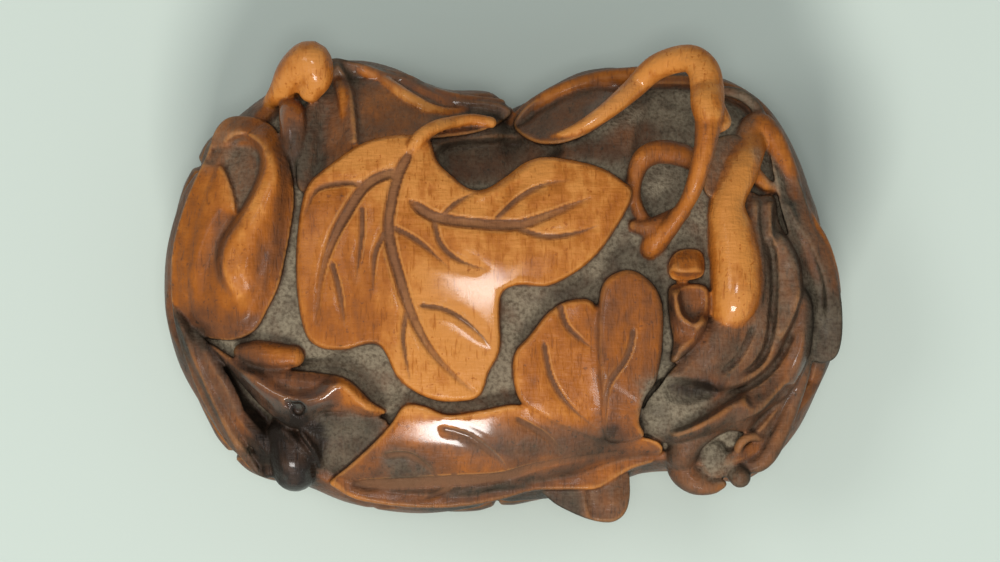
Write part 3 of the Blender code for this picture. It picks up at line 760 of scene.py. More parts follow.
@dataclass
class Foliage:
    """The leaves of the carved face."""

    def leaves(self) -> list[Leaf]:
        """Lists the leaves, from the large one in the middle outwards."""
        return [
            Leaf(
                "centre_leaf", Tone.PALE,
                outline=(
                    (428, 136), (412, 136), (390, 137), (362, 145), (338, 161), (312, 182), (303, 206),
                    (298, 250), (299, 295), (307, 333), (322, 347), (346, 349), (370, 343), (384, 348),
                    (397, 374), (413, 389), (436, 399), (461, 400), (480, 394), (489, 371), (500, 346),
                    (500, 298), (516, 285), (545, 286), (567, 277), (588, 262), (608, 239), (631, 197),
                    (620, 181), (598, 168), (570, 161), (544, 158), (524, 164), (504, 179), (485, 190),
                    (468, 189), (450, 175), (437, 161),
                ),
                ribs=(
                    ((411, 153), (400, 174), (392, 205), (390, 235), (400, 276), (414, 318), (432, 350),
                     (456, 376), (474, 391)),
                    ((401, 172), (378, 179), (362, 192), (348, 214), (334, 240), (323, 276), (317, 322)),
                    ((412, 203), (434, 217), (459, 222), (490, 225), (520, 225), (550, 215), (574, 205),
                     (590, 199)),
                ),
                veins=(
                    ((366, 186), (345, 184), (318, 191), (306, 217)),
                    ((363, 207), (363, 235), (357, 283)),
                    ((333, 262), (341, 292), (346, 325)),
                    ((495, 221), (516, 201), (540, 187), (568, 181)),
                    ((515, 228), (545, 237), (574, 234), (597, 226)),
                    ((434, 217), (441, 244), (460, 261), (487, 270)),
                    ((392, 227), (418, 241), (450, 268)),
                    ((420, 305), (447, 310), (472, 326), (491, 346)),
                    ((408, 310), (404, 338), (411, 380)),
                    ((443, 217), (455, 205), (477, 192)),
                    ((387, 232), (376, 255), (374, 293)),
                ),
                lift=0.00187, dish=-1,
                reliefs=(
                    Fold(((530, 168), (515, 180), (500, 190), (485, 197), (470, 198)), 7, 2.5),
                ),
            ),
            Leaf(
                "bottom_leaf", Tone.HONEY,
                outline=(
                    (330, 481), (347, 467), (370, 446), (390, 425), (405, 405), (424, 405), (449, 414),
                    (484, 409), (520, 404), (560, 420), (605, 436), (645, 437), (662, 446), (655, 461),
                    (630, 470), (600, 488), (565, 490), (532, 491), (500, 500), (460, 507), (420, 508),
                    (385, 505), (355, 499), (335, 488),
                ),
                ribs=(((355, 485), (400, 483), (451, 480), (499, 477), (543, 464), (618, 452)),),
                veins=(
                    ((441, 427), (470, 436), (497, 457), (507, 471)),
                    ((515, 417), (545, 435), (562, 456)),
                    ((385, 455), (412, 455), (441, 479)),
                    ((456, 473), (444, 490), (420, 501)),
                ),
                lift=0.00187,
            ),
            Leaf(
                "upright_leaf_left", Tone.HONEY,
                outline=(
                    (606, 438), (575, 432), (540, 416), (520, 400), (513, 375), (515, 352), (530, 334),
                    (549, 311), (570, 300), (592, 302), (602, 330), (606, 380),
                ),
                veins=(
                    ((543, 341), (550, 375), (567, 403), (600, 431)),
                    ((559, 304), (567, 327), (593, 349)),
                ),
                lift=0.0021, dish=-1.5,
            ),
            Leaf(
                "upright_leaf_right", Tone.HONEY,
                outline=(
                    (606, 440), (600, 400), (596, 350), (597, 310), (604, 281), (627, 270), (648, 281),
                    (660, 303), (661, 340), (655, 378), (643, 398), (638, 420), (642, 436),
                ),
                veins=(((632, 328), (626, 355), (607, 386), (604, 430)),),
                lift=0.0027, dish=-2,
            ),
            Leaf(
                "hanging_leaf", Tone.RUSSET,
                outline=(
                    (535, 480), (550, 500), (570, 512), (594, 521), (614, 522), (627, 510), (630, 485),
                    (622, 460), (570, 462),
                ),
                lift=0.0007, dish=0, wrap=0.0,
                reliefs=(
                    Crest(((580, 470), (584, 496), (589, 520)), 4, 16, 3),
                    Fold(((610, 474), (612, 492), (612, 510)), 18, 5),
                ),
            ),
            Leaf(
                "back_left_leaf", Tone.UMBER,
                outline=(
                    (326, 62), (352, 61), (385, 71), (420, 82), (450, 97), (497, 102), (511, 114), (480, 132),
                    (430, 140), (380, 150), (340, 175), (302, 192), (298, 150), (304, 110),
                ),
                lift=0.00085, dish=10,
                reliefs=(
                    Crest(((333, 62), (342, 73), (348, 86), (352, 102), (355, 130), (356, 150)), 7, 20, 11),
                    Fold(((318, 180), (322, 140), (326, 100)), 10, -4),
                    Fold(((380, 140), (400, 118), (420, 112)), 12, 3),
                ),
            ),
            Leaf(
                "back_right_leaf", Tone.RUSSET,
                outline=(
                    (514, 122), (530, 102), (562, 87), (592, 74), (622, 69), (650, 69), (656, 80), (636, 98),
                    (612, 118), (588, 134), (562, 144), (538, 144), (520, 134),
                ),
                lift=0.00085, dish=5,
                reliefs=(Fold(((540, 128), (575, 112), (610, 92)), 14, -4),),
            ),
            Leaf(
                "far_right_leaf", Tone.UMBER,
                outline=(
                    (768, 122), (788, 155), (803, 190), (815, 226), (831, 253), (840, 288), (843, 325),
                    (839, 352), (828, 362), (811, 357), (806, 320), (800, 280), (790, 240), (780, 205),
                    (772, 165),
                ),
                lift=0.00085, dish=0,
                reliefs=(
                    Crest(((786, 200), (795, 220), (806, 238), (817, 260), (826, 288), (828, 320)), 20, 5, 10),
                ),
            ),
            Leaf(
                "left_pod", Tone.HONEY,
                outline=(
                    (171, 300), (171, 260), (175, 235), (183, 208), (193, 183), (206, 156), (214, 132),
                    (227, 118), (247, 116), (262, 120), (274, 128), (285, 145), (291, 165), (295, 192),
                    (294, 215), (288, 250), (280, 285), (268, 310), (257, 329), (238, 339), (215, 339),
                    (198, 336), (186, 346), (177, 322),
                ),
                lift=0.0013, edge_round=0.0007,
                reliefs=(
                    Crest(((218, 146), (232, 135), (250, 134), (264, 146), (269, 164), (264, 182), (255, 201),
                           (245, 218), (235, 232), (227, 246), (225, 262), (229, 280), (240, 298)), 40, 9, 15),
                    Fold(((272, 150), (277, 175), (268, 205), (256, 232), (250, 262), (248, 290)), 20, 5),
                    Fold(((219, 157), (230, 176), (236, 194), (239, 213)), 3, -4),
                    Hollow(((222, 160), (232, 149), (244, 146), (257, 151), (262, 163), (257, 186), (247, 203),
                            (239, 214), (236, 194), (230, 176)), 8, 7),
                    Fold(((206, 160), (196, 205), (190, 255), (196, 305)), 34, 9),
                    Fold(((236, 214), (220, 240), (208, 268), (204, 300)), 16, -5),
                    Fold(((213, 149), (219, 156)), 4, -8),
                ),
            ),
            Leaf(
                "right_husk", Tone.RUSSET,
                outline=(
                    (748, 196), (758, 196), (774, 198), (780, 226), (800, 256), (808, 288), (813, 315),
                    (811, 350), (804, 386), (790, 420), (772, 446), (758, 452), (748, 434), (722, 430),
                    (690, 440), (664, 442), (646, 434), (640, 418), (648, 398), (660, 384), (668, 372),
                    (690, 350), (706, 330), (720, 300), (735, 250),
                ),
                lift=0.0009, dish=0, edge_round=0.0004,
                reliefs=(
                    Crest(((756, 196), (756, 225), (760, 252), (761, 285), (756, 310)), 5, 20, 7),
                    Crest(((771, 200), (770, 225), (772, 248)), 5, 8, 8),
                    Crest(((774, 232), (786, 241), (796, 260), (799, 282), (795, 306), (786, 328), (776, 342)),
                          5, 24, 12),
                    Fold(((769, 240), (773, 275), (772, 305), (768, 340), (758, 362), (738, 376)), 6, -11),
                    Crest(((800, 284), (810, 302), (813, 325), (808, 352), (798, 376), (782, 396), (760, 410),
                           (735, 420)), 5, 22, 11),
                    Fold(((790, 334), (780, 356), (765, 374), (742, 388), (715, 392)), 6, -9),
                    Crest(((748, 396), (731, 404), (712, 416), (690, 428), (668, 436)), 18, 8, 12),
                    Fold(((752, 328), (738, 356), (718, 374)), 5, -6),
                    Fold(((738, 330), (720, 355), (700, 370)), 5, -5),
                    Fold(((790, 386), (775, 402), (760, 420), (746, 436)), 7, -10),
                    Hollow(((640, 402), (662, 386), (690, 382), (720, 390), (742, 388), (736, 398), (714, 409),
                            (690, 420), (664, 430), (645, 424)), 7, 18),
                    Fold(((806, 330), (800, 356), (786, 380), (766, 400), (740, 416), (702, 432), (670, 442)),
                         17, 5),
                    Hollow(((664, 383), (676, 378), (700, 384), (714, 391), (704, 398), (684, 401),
                            (668, 398)), 6, 9),
                ),
            ),
            Leaf(
                "bud", Tone.HONEY,
                outline=((667, 266), (674, 253), (688, 249), (701, 254), (702, 274), (688, 280), (671, 279)),
                lift=0.0014, edge_round=0.0004,
                reliefs=(Crest(((668, 268), (684, 272), (702, 270)), 20, 5, 6),),
            ),
            Leaf(
                "bud_cup", Tone.RUSSET,
                outline=(
                    (668, 288), (684, 284), (706, 288), (707, 316), (700, 336), (686, 352), (670, 362),
                    (672, 340), (668, 315),
                ),
                lift=0.0009, dish=0, edge_round=0.0003,
                reliefs=(
                    Crest(((675, 288), (675, 302), (680, 316), (692, 324), (704, 318)), 6, 12, 8),
                    Crest(((706, 316), (698, 334), (684, 350), (672, 364)), 6, 14, 6),
                    Hollow(((680, 291), (701, 291), (701, 312), (688, 316), (681, 306)), 5, 5),
                ),
            ),
            Leaf(
                "neck_patch", Tone.RUSSET,
                outline=((737, 136), (716, 140), (708, 165), (702, 188), (712, 198), (728, 178), (742, 148)),
                lift=0.0008,
            ),
            Leaf(
                "left_skirt", Tone.RUSSET,
                outline=(
                    (173, 306), (190, 326), (209, 343), (222, 364), (236, 388), (246, 414), (249, 440),
                    (262, 462), (270, 478), (256, 474), (240, 457), (226, 443), (210, 415), (196, 388),
                    (184, 356), (176, 330),
                ),
                lift=0.0011, edge_round=0.0004,
                reliefs=(
                    Crest(((176, 312), (184, 336), (194, 360), (206, 386), (218, 412), (230, 438), (244, 458)),
                          28, 5, 9),
                    Fold(((250, 444), (258, 462), (266, 476)), 5, -5),
                ),
            ),
            Leaf(
                "curled_leaf", Tone.AMBER,
                outline=(
                    (209, 343), (240, 361), (275, 368), (325, 373), (350, 380), (372, 401), (387, 411),
                    (370, 416), (350, 412), (324, 411), (312, 424), (297, 428), (278, 419), (257, 401),
                    (231, 370),
                ),
                lift=0.0013, edge_round=0.0004,
                reliefs=(
                    Crest(((236, 366), (260, 384), (284, 397), (302, 401), (322, 397), (336, 386), (346, 385),
                           (368, 403), (384, 411)), 14, 18, 11),
                    Hollow(((295, 402), (303, 402), (306, 409), (300, 414), (294, 410)), 8, 3),
                    Hollow(((287, 400), (292, 399), (294, 404), (289, 406)), 6, 3),
                ),
            ),
            Leaf(
                "cupped_leaf", Tone.UMBER,
                outline=(
                    (300, 428), (315, 420), (325, 413), (350, 413), (380, 416), (388, 426), (368, 447),
                    (346, 465), (330, 476), (318, 470), (310, 450),
                ),
                lift=0.0006, dish=8,
                reliefs=(Crest(((298, 430), (308, 440), (316, 452), (322, 470)), 5, 10, 6),),
            ),
        ]

    def side_leaves(self) -> list[SideLeaf]:
        """Lists the leaves that wrap the sides and the underside."""
        shapes = (
            (266, 30, -66, 31, 16), (318, 26, -58, 30, -18), (8, 24, -64, 34, 14), (62, 22, -60, 30, -14),
            (112, 22, -64, 27, 12), (160, 24, -60, 32, -12), (213, 28, -62, 30, -10),
        )
        return [SideLeaf(f"side_leaf_{index}", *shape) for index, shape in enumerate(shapes)]


@dataclass
class Stalks:
    """The stems, tendrils and rolled edges."""

    def stems(self) -> list[Stem]:
        """Lists the stems, tendrils and rolled edges, from the back left round to the front right."""
        return [
            Stem("knob_stem", Tone.GOLD, (
                (270, 102, 2, 8), (282, 90, 16, 13), (295, 72, 32, 18), (311, 61, 42, 20), (317, 77, 40, 17),
                (311, 91, 32, 12))),
            Stem("finger_stem", Tone.AMBER, (
                (289, 104, 14, 10), (292, 112, 17, 13), (294, 124, 16, 14), (295, 142, 10, 13),
                (298, 162, 3, 9), (300, 184, -4, 4))),
            Stem("centre_petiole", Tone.PALE, (
                (491, 123, 18, 6), (472, 120, 22, 6), (452, 123, 26, 6), (434, 129, 28, 7), (418, 142, 23, 8),
                (409, 158, 14, 7), (404, 172, 7, 5))),
            Stem("arch", Tone.GOLD, (
                (545, 142, 6, 4), (575, 132, 12, 7), (606, 112, 22, 9), (632, 90, 32, 11), (656, 68, 50, 13),
                (686, 60, 72, 14), (701, 71, 82, 16), (705, 90, 86, 17), (705, 106, 84, 17),
                (706, 117, 81, 15))),
            Stem("arch_lip", Tone.GOLD, (
                (715, 100, 82, 5), (720, 113, 79, 5), (723, 124, 77, 6), (716, 130, 77, 5), (706, 131, 77, 4))),
            Stem("arch_leg", Tone.HONEY, (
                (707, 108, 80, 15), (705, 130, 75, 13), (702, 150, 68, 11), (697, 170, 58, 10),
                (691, 190, 46, 9), (682, 208, 30, 8), (669, 226, 14, 10), (655, 240, 2, 13),
                (648, 250, -4, 11))),
            Stem("tendril_loop", Tone.AMBER, (
                (712, 176, 4, 8), (692, 161, 10, 11), (674, 154, 13, 12), (656, 153, 13, 12),
                (642, 160, 11, 11), (635, 174, 6, 9), (633, 194, 2, 7), (638, 212, 0, 7), (650, 232, 0, 8))),
            Stem("tendril_root", Tone.AMBER, (
                (634, 226, 0, 7), (650, 228, 4, 10), (668, 222, 5, 11), (682, 212, 8, 8))),
            Stem("back_left_rim", Tone.HONEY, (
                (345, 64, 5, 5), (366, 71, 9, 7), (388, 84, 10, 7), (410, 99, 9, 7), (432, 110, 6, 6),
                (456, 113, 5, 6), (486, 107, 5, 6), (508, 112, 3, 6))),
            Stem("back_left_outer_rim", Tone.AMBER, (
                (385, 73, 5, 5), (408, 80, 7, 6), (430, 91, 7, 6), (460, 99, 7, 6), (500, 104, 5, 6))),
            Stem("back_left_rib", Tone.AMBER, (
                (328, 66, 8, 7), (341, 86, 10, 7), (347, 112, 6, 7), (350, 145, 0, 5))),
            Stem("back_right_rim", Tone.HONEY, (
                (513, 122, 2, 6), (535, 105, 6, 8), (565, 90, 8, 9), (600, 79, 9, 9), (640, 76, 14, 10))),
            Stem("right_shoulder_rim", Tone.UMBER, (
                (722, 90, 3, 5), (740, 94, 4, 6), (754, 104, 4, 6), (762, 118, 3, 6))),
            Stem("right_neck", Tone.HONEY, (
                (744, 140, 1, 12), (757, 126, 6, 15), (771, 136, 8, 13), (781, 154, 8, 11), (790, 176, 6, 10),
                (797, 200, 5, 8), (804, 222, 3, 7))),
            Stem("far_right_rim", Tone.HONEY, (
                (798, 200, 5, 6), (812, 224, 7, 7), (823, 246, 8, 8), (831, 272, 8, 8), (836, 292, 6, 6))),
            Stem("low_sweep_band", Tone.RUSSET, (
                (748, 412, -6, 14), (722, 420, -3, 12), (698, 434, 0, 13), (684, 449, 3, 16), (684, 468, 9, 17),
                (695, 481, 14, 14), (711, 486, 17, 9), (722, 484, 18, 5))),
            Stem("outer_sweep_band", Tone.RUSSET, (
                (809, 350, 10, 6), (802, 378, 12, 7), (791, 408, 14, 8), (779, 436, 16, 9), (766, 458, 17, 9),
                (752, 466, 15, 8), (740, 462, 12, 6))),
            Stem("right_curl", Tone.RUSSET, (
                (768, 452, 14, 6), (763, 441, 13, 5), (752, 436, 12, 5), (741, 442, 11, 5), (738, 453, 11, 5),
                (745, 463, 12, 5), (755, 462, 13, 4), (757, 453, 13, 3.5), (751, 450, 12, 3))),
            Stem("neck_bridge", Tone.HONEY, (
                (742, 160, 5, 9), (752, 172, 5, 8), (764, 184, 4, 7), (776, 190, 3, 5))),
            Stem("left_skirt_root", Tone.SOOT, ((262, 436, -2, 8), (266, 452, 2, 9), (270, 470, 10, 8))),
        ]


@dataclass
class Pods:
    """The pods, buds and lobes."""

    def pods(self) -> list[Stem]:
        """Lists the pods, buds and lobes with their own folds."""
        return [
            Stem("right_pod", Tone.GOLD, (
                (760, 126, -6, 9), (752, 144, 0, 15), (738, 170, 6, 20), (726, 204, 9, 18), (731, 238, 9, 24),
                (735, 272, 8, 26), (734, 296, 8, 25), (729, 312, 3, 21))),
            Stem("pod_base", Tone.RUSSET, (
                (731, 318, -4, 20), (718, 338, -4, 24), (702, 358, -5, 23), (684, 372, -8, 14))),
            Stem("bean", Tone.HONEY, ((243, 352, 4, 9), (258, 353, 6, 13), (278, 356, 6, 13), (295, 356, 5, 11))),
            Stem("left_stub", Tone.SOOT, (
                (284, 434, -5, 17), (292, 450, 0, 24), (295, 469, 10, 23)), reliefs=(
                    Crest(((278, 426), (292, 438), (306, 450), (318, 464)), 20, 5, 5),)),
            Stem("front_pocket", Tone.GROUND, ((712, 452, -4, 15), (714, 465, 3, 17))),
            Stem("front_stub", Tone.UMBER, ((732, 468, 10, 10), (740, 477, 20, 11))),
        ]


@dataclass
class WearAndShade:
    """Patches of the carved face: worn, dusty and discoloured ones, and a few of painted light and shade."""

    def stain_and_shade_patches(self) -> list[StainAndShadePatch]:
        """Lists the patches."""
        return [
            StainAndShadePatch(((222, 158), (234, 149), (252, 148), (261, 162), (254, 190), (242, 212), (232, 190)),
                  -0.3, 0.42, 8),
            StainAndShadePatch(((196, 150), (214, 122), (246, 116), (240, 138), (222, 152), (208, 172)), -0.14, 0.34, 16),
            # Painted light and shade: the left pod's left face is made paler and its right face darker, as the
            # light falls on them.
            StainAndShadePatch(((262, 124), (278, 142), (281, 170), (271, 200), (257, 232), (251, 262), (248, 300), (232, 296),
                   (222, 262), (226, 243), (242, 214), (258, 185), (263, 160)), 0.1, 0.0, 8),
            StainAndShadePatch(((284, 150), (296, 190), (292, 240), (278, 290), (258, 328), (246, 320), (253, 270), (263, 228),
                   (278, 200)), -0.2, 0.0, 10),
            StainAndShadePatch(((246, 440), (270, 430), (276, 480), (262, 484), (248, 462)), -0.34, 0.0, 8),
            StainAndShadePatch(((238, 340), (262, 342), (262, 368), (238, 366)), -0.3, 0.0, 14),
            StainAndShadePatch(((248, 372), (284, 392), (302, 396), (334, 380), (338, 398), (304, 410), (276, 408),
                   (246, 386)),
                  0.0, 0.0, 8, 1.0),
            StainAndShadePatch(((424, 420), (500, 420), (508, 452), (496, 468), (436, 446)), 0.0, 0.0, 8, 1.0),
            StainAndShadePatch(((436, 272), (500, 268), (504, 292), (490, 306), (438, 300)), 0.0, 0.0, 8, 0.8),
            StainAndShadePatch(((452, 320), (500, 322), (500, 346), (486, 384), (466, 376), (474, 350)), 0.0, 0.0, 8, 0.6),
            StainAndShadePatch(((280, 108), (300, 108), (302, 130), (282, 132)), 0.1, 0.0, 8, 1.0),
            StainAndShadePatch(((284, 46), (334, 46), (334, 90), (284, 90)), 0.0, 0.0, 12, 0.35),
            StainAndShadePatch(((590, 100), (640, 80), (650, 96), (600, 140), (588, 136)), 0.0, 0.0, 8, 0.8),
            StainAndShadePatch(((790, 366), (806, 360), (800, 404), (784, 408)), 0.0, 0.0, 8, 1.0),
            StainAndShadePatch(((360, 66), (384, 70), (452, 92), (448, 104), (404, 92), (360, 80)), 0.0, 0.0, 8, 0.9),
            StainAndShadePatch(((722, 284), (746, 284), (746, 312), (722, 312)), 0.0, 0.0, 8, 0.7),
            StainAndShadePatch(((286, 466), (308, 466), (308, 490), (286, 490)), 0.1, 0.0, 8, 0.8),
            StainAndShadePatch(((290, 402), (304, 400), (308, 412), (294, 416)), -0.5, 0.0, 5),
            StainAndShadePatch(((606, 421), (620, 424), (616, 434), (606, 432)), -0.5, 0.0, 5),
            StainAndShadePatch(((750, 150), (770, 156), (786, 192), (770, 186)), 0.1, 0.6, 8),
            StainAndShadePatch(((806, 292), (832, 290), (846, 300), (846, 366), (806, 366)), -0.2, 0.1, 8),
            StainAndShadePatch(((780, 196), (806, 214), (826, 262), (828, 292), (808, 296), (796, 250)), -0.08, 0.1, 10),
            StainAndShadePatch(((170, 312), (200, 306), (250, 312), (262, 330), (236, 344), (190, 350)), -0.3, 0.0, 18),
            StainAndShadePatch(((196, 214), (236, 218), (226, 250), (214, 300), (196, 300)), -0.16, 0.0, 18),
            # Painted shade: the deep recess between the left skirt, the curled leaf and the stubs is made dark
            # and free of dust.
            StainAndShadePatch(((208, 346), (222, 358), (246, 384), (272, 414), (322, 424), (318, 470), (300, 490),
                   (262, 470), (250, 430), (236, 392)), -0.5, -0.9, 8),
            StainAndShadePatch(((218, 352), (300, 366), (340, 372), (330, 412), (300, 430), (256, 404)), -0.22, 0.0, 14),
            StainAndShadePatch(((332, 374), (350, 380), (388, 412), (352, 412)), 0.25, 0.0, 10),
            StainAndShadePatch(((310, 414), (384, 416), (346, 462), (320, 462)), -0.12, 0.15, 12),
            StainAndShadePatch(((300, 58), (322, 62), (318, 84), (300, 80)), 0.15, 0.0, 10),
            StainAndShadePatch(((286, 124), (306, 130), (302, 176), (288, 166)), -0.35, 0.1, 14),
            StainAndShadePatch(((336, 92), (420, 92), (446, 124), (380, 146), (330, 166)), 0.3, -0.05, 14),
            StainAndShadePatch(((330, 330), (505, 300), (505, 400), (390, 400)), 0.1, 0.0, 30),
            StainAndShadePatch(((385, 450), (418, 452), (432, 470), (414, 482), (388, 478)), -0.4, 0.2, 10),
            StainAndShadePatch(((340, 484), (500, 480), (640, 452), (632, 524), (430, 512)), -0.36, 0.05, 14),
            StainAndShadePatch(((584, 468), (640, 462), (632, 530), (588, 524)), 0.34, 0.0, 8),
            StainAndShadePatch(((796, 196), (814, 216), (834, 250), (847, 292), (836, 298), (822, 262), (806, 232)),
                  0.3, -0.1, 8),
            StainAndShadePatch(((330, 330), (366, 320), (384, 350), (340, 356)), -0.14, 0.0, 16),
            StainAndShadePatch(((596, 300), (664, 270), (668, 400), (640, 440), (604, 440)), -0.2, 0.0, 12),
            StainAndShadePatch(((716, 96), (730, 100), (738, 136), (716, 138)), 0.1, 0.0, 10),
            StainAndShadePatch(((668, 286), (706, 286), (706, 340), (672, 340)), 0.14, -0.3, 10),
            StainAndShadePatch(((700, 330), (756, 322), (740, 372), (720, 392), (690, 384)), -0.08, 0.1, 20),
            StainAndShadePatch(((640, 384), (668, 376), (712, 388), (690, 420), (650, 434)), -0.2, 0.8, 14),
            StainAndShadePatch(((668, 384), (692, 379), (722, 386), (704, 398), (680, 398)), -0.4, -1.0, 16),
            StainAndShadePatch(((752, 200), (790, 214), (796, 300), (770, 350), (752, 340), (762, 280)), -0.06, 0.2, 12),
            StainAndShadePatch(((716, 128), (740, 140), (720, 190), (702, 192)), -0.1, 0.15, 10),
            StainAndShadePatch(((704, 446), (722, 442), (734, 464), (722, 482), (700, 474)), -0.1, 0.6, 10),
            StainAndShadePatch(((812, 270), (846, 270), (850, 368), (806, 368)), -0.04, 0.0, 12),
            StainAndShadePatch(((440, 128), (500, 122), (560, 146), (650, 120), (640, 160), (560, 162), (500, 184),
                   (450, 176)),
                  0.16, -0.75, 12),
            StainAndShadePatch(((500, 416), (600, 424), (612, 450), (520, 456), (440, 440)), -0.34, 0.1, 16),
            StainAndShadePatch(((360, 440), (500, 436), (612, 446), (520, 486), (350, 486)), -0.14, 0.05, 20),
            StainAndShadePatch(((408, 400), (520, 404), (600, 424), (590, 428), (500, 420), (420, 414)), 0.2, 0.0, 8),
            StainAndShadePatch(((430, 270), (500, 262), (512, 290), (500, 350), (480, 392), (446, 380), (420, 320)),
                  0.08, 0.0, 26),
            StainAndShadePatch(((302, 210), (372, 200), (392, 240), (396, 330), (330, 350), (300, 330)), -0.12, 0.0, 20),
            StainAndShadePatch(((728, 88), (758, 98), (750, 136), (728, 130)), 0.0, 0.3, 10),
        ]


@dataclass
class Carving:
    """The whole netsuke: every form grown into one skin, with its hollows and edges read for the finish."""

    plan: Plan = field(default_factory=Plan)
    form_voxel: float = 0.00015
    body_voxel: float = 0.00012
    face_limit: int = 196000
    plain_level: float = 0.0095
    plain_bias: float = 2e-7
    fine_rounds: int = 4
    broad_rounds: int = 60
    fine_size: float = 0.00006
    broad_size: float = 0.0006
    patch_floor: float = 0.010
    patch_fade: float = 0.003
    rim_start: float = 0.95
    rim_fade: float = 0.04

    def __post_init__(self) -> None:
        """Sets up the body and the makers of every form."""
        self.ground = Ground(self.plan, self.form_voxel * 1.4)
        self.leaves = Foliage().leaves()

    def forms(self) -> list[Form]:
        """Builds every form of the carving.

        Returns:
            The forms, body first.
        """
        makers = [*Foliage().side_leaves(), *self.leaves, *Stalks().stems(), *Pods().pods()]
        built = [self.ground.build()]
        built += [maker.build(self.ground, self.form_voxel) for maker in makers]
        log.info("%d forms carved", len(built))
        return built

    def _engrave(self, mesh: bpy.types.Mesh) -> None:
        """Cuts the leaves' veins into the grown skin."""
        skin = Form("skin", Tone.HONEY, mesh)
        upward = skin.upward()
        vein = np.zeros(len(skin.points))
        for leaf in self.leaves:
            leaf.engrave(skin.points, upward, self.ground, vein)
        skin.settle()
        store(mesh, "vein", vein)

    def _grow(self, forms: list[Form]) -> bpy.types.Object:
        """Grows the forms into one even skin and eases it.

        Args:
            forms: The forms of the carving.

        Returns:
            The grown carving as one object.
        """
        gathered = bmesh.new()
        for form in forms:
            gathered.from_mesh(form.mesh)
        mesh = bpy.data.meshes.new("netsuke_carving")
        gathered.to_mesh(mesh)
        gathered.free()
        whole = bpy.data.objects.new("netsuke_carving", even_skin(mesh, self.body_voxel))
        bpy.context.scene.collection.objects.link(whole)
        ease = whole.modifiers.new("ease", "SMOOTH")
        ease.factor = 0.5
        ease.iterations = 1
        whole.data = take_copy(whole)
        whole.modifiers.clear()
        return whole

    def _read_relief(self, mesh: bpy.types.Mesh) -> None:
        """Stores how deep in a hollow or how far out on an edge each point lies."""
        points = read_rows(mesh)
        normals = read_rows(mesh, "normal")
        neighbours = Neighbours(mesh)
        eased = points.copy()
        for turn in range(1, self.broad_rounds + 1):
            eased = np.column_stack([neighbours.mean(eased[:, axis]) for axis in range(3)])
            if turn == self.fine_rounds:
                fine = ((eased - points) * normals).sum(1)
        broad = ((eased - points) * normals).sum(1)
        for name, depth, size in (("fine", fine, self.fine_size), ("broad", broad, self.broad_size)):
            store(mesh, name, np.clip(0.5 + 0.5 * depth / size, 0.0, 1.0))

    def _cut_flat(self, mesh: bpy.types.Mesh) -> None:
        """Cuts the flat spot that the netsuke rests on."""
        points = read_rows(mesh)
        points[:, 2] = np.maximum(points[:, 2], 0.0)
        write_places(mesh, points)

    def _tint(self, mesh: bpy.types.Mesh, forms: list[Form]) -> None:
        """Gives each point the tone of the form that it was carved from, with the patches of discolouring, dust,
        polish and painted light and shade laid over it.

        Args:
            mesh: The finished skin.
            forms: The forms that it was grown from.
        """
        tree = KDTree(sum(len(form.points) for form in forms))
        tones = []
        index = 0
        for form in forms:
            for point in form.points:
                tree.insert(point, index)
                index += 1
            tones.append(np.tile(form.tone.value, (len(form.points), 1)))
        tree.balance()
        tones = np.vstack(tones)
        found = [tree.find(vertex.co)[1] for vertex in mesh.vertices]
        neighbours = Neighbours(mesh)
        points = read_rows(mesh)
        upper = smooth_step((points[:, 2] - self.patch_floor) / self.patch_fade)
        stain_and_shade_patches = WearAndShade().stain_and_shade_patches()
        shares = [tone_patch.share(points[:, :2], self.plan) * upper for tone_patch in stain_and_shade_patches]
        rim = smooth_step((self.ground.reach(points[:, :2]) - self.rim_start) / self.rim_fade)
        sides = (*Tone.SIDE.value, 0.0)
        tones = np.column_stack([tones, np.zeros(len(tones))])
        on_ground = tones[found, 1] > 0.9
        for column, (name, rounds) in enumerate((("honey", 7), ("dust", 1), ("gloss", 2))):
            value = tones[found, column]
            value = np.where(on_ground, value + rim * (sides[column] - value), value)
            for tone_patch, share in zip(stain_and_shade_patches, shares):
                value = value + share * (tone_patch.honey, tone_patch.dust, tone_patch.gloss)[column]
            value = np.clip(value, 0.0, 1.0)
            for _ in range(rounds):
                value = 0.5 * value + 0.5 * neighbours.mean(value)
            store(mesh, name, value)

    def build(self) -> bpy.types.Object:
        """Makes the visual piece.

        Returns:
            The carving as one object.
        """
        forms = self.forms()
        whole = self._grow(forms)
        self._engrave(whole.data)
        self._read_relief(whole.data)
        faces = sum(len(face.vertices) - 2 for face in whole.data.polygons)
        thin = whole.modifiers.new("fewer faces", "DECIMATE")
        thin.ratio = min(1.0, self.face_limit / faces)
        plain = whole.vertex_groups.new(name="plain underside")
        levels = np.array([vertex.co.z for vertex in whole.data.vertices])
        plain.add(np.where(levels < self.plain_level)[0].tolist(), 1.0, "REPLACE")
        plain.add(np.where(levels >= self.plain_level)[0].tolist(), 0.5, "REPLACE")
        thin.vertex_group = plain.name
        thin.vertex_group_factor = self.plain_bias
        whole.data = take_copy(whole)
        whole.modifiers.clear()
        whole.vertex_groups.clear()
        above = sum(face.center.z >= self.plain_level for face in whole.data.polygons)
        log.info("%d of the faces lie on the carved side", above)
        self._cut_flat(whole.data)
        self._tint(whole.data, forms)
        whole.data.shade_smooth()
        log.info("netsuke_carving: %d faces before thinning, %d after", faces, len(whole.data.polygons))
        return whole


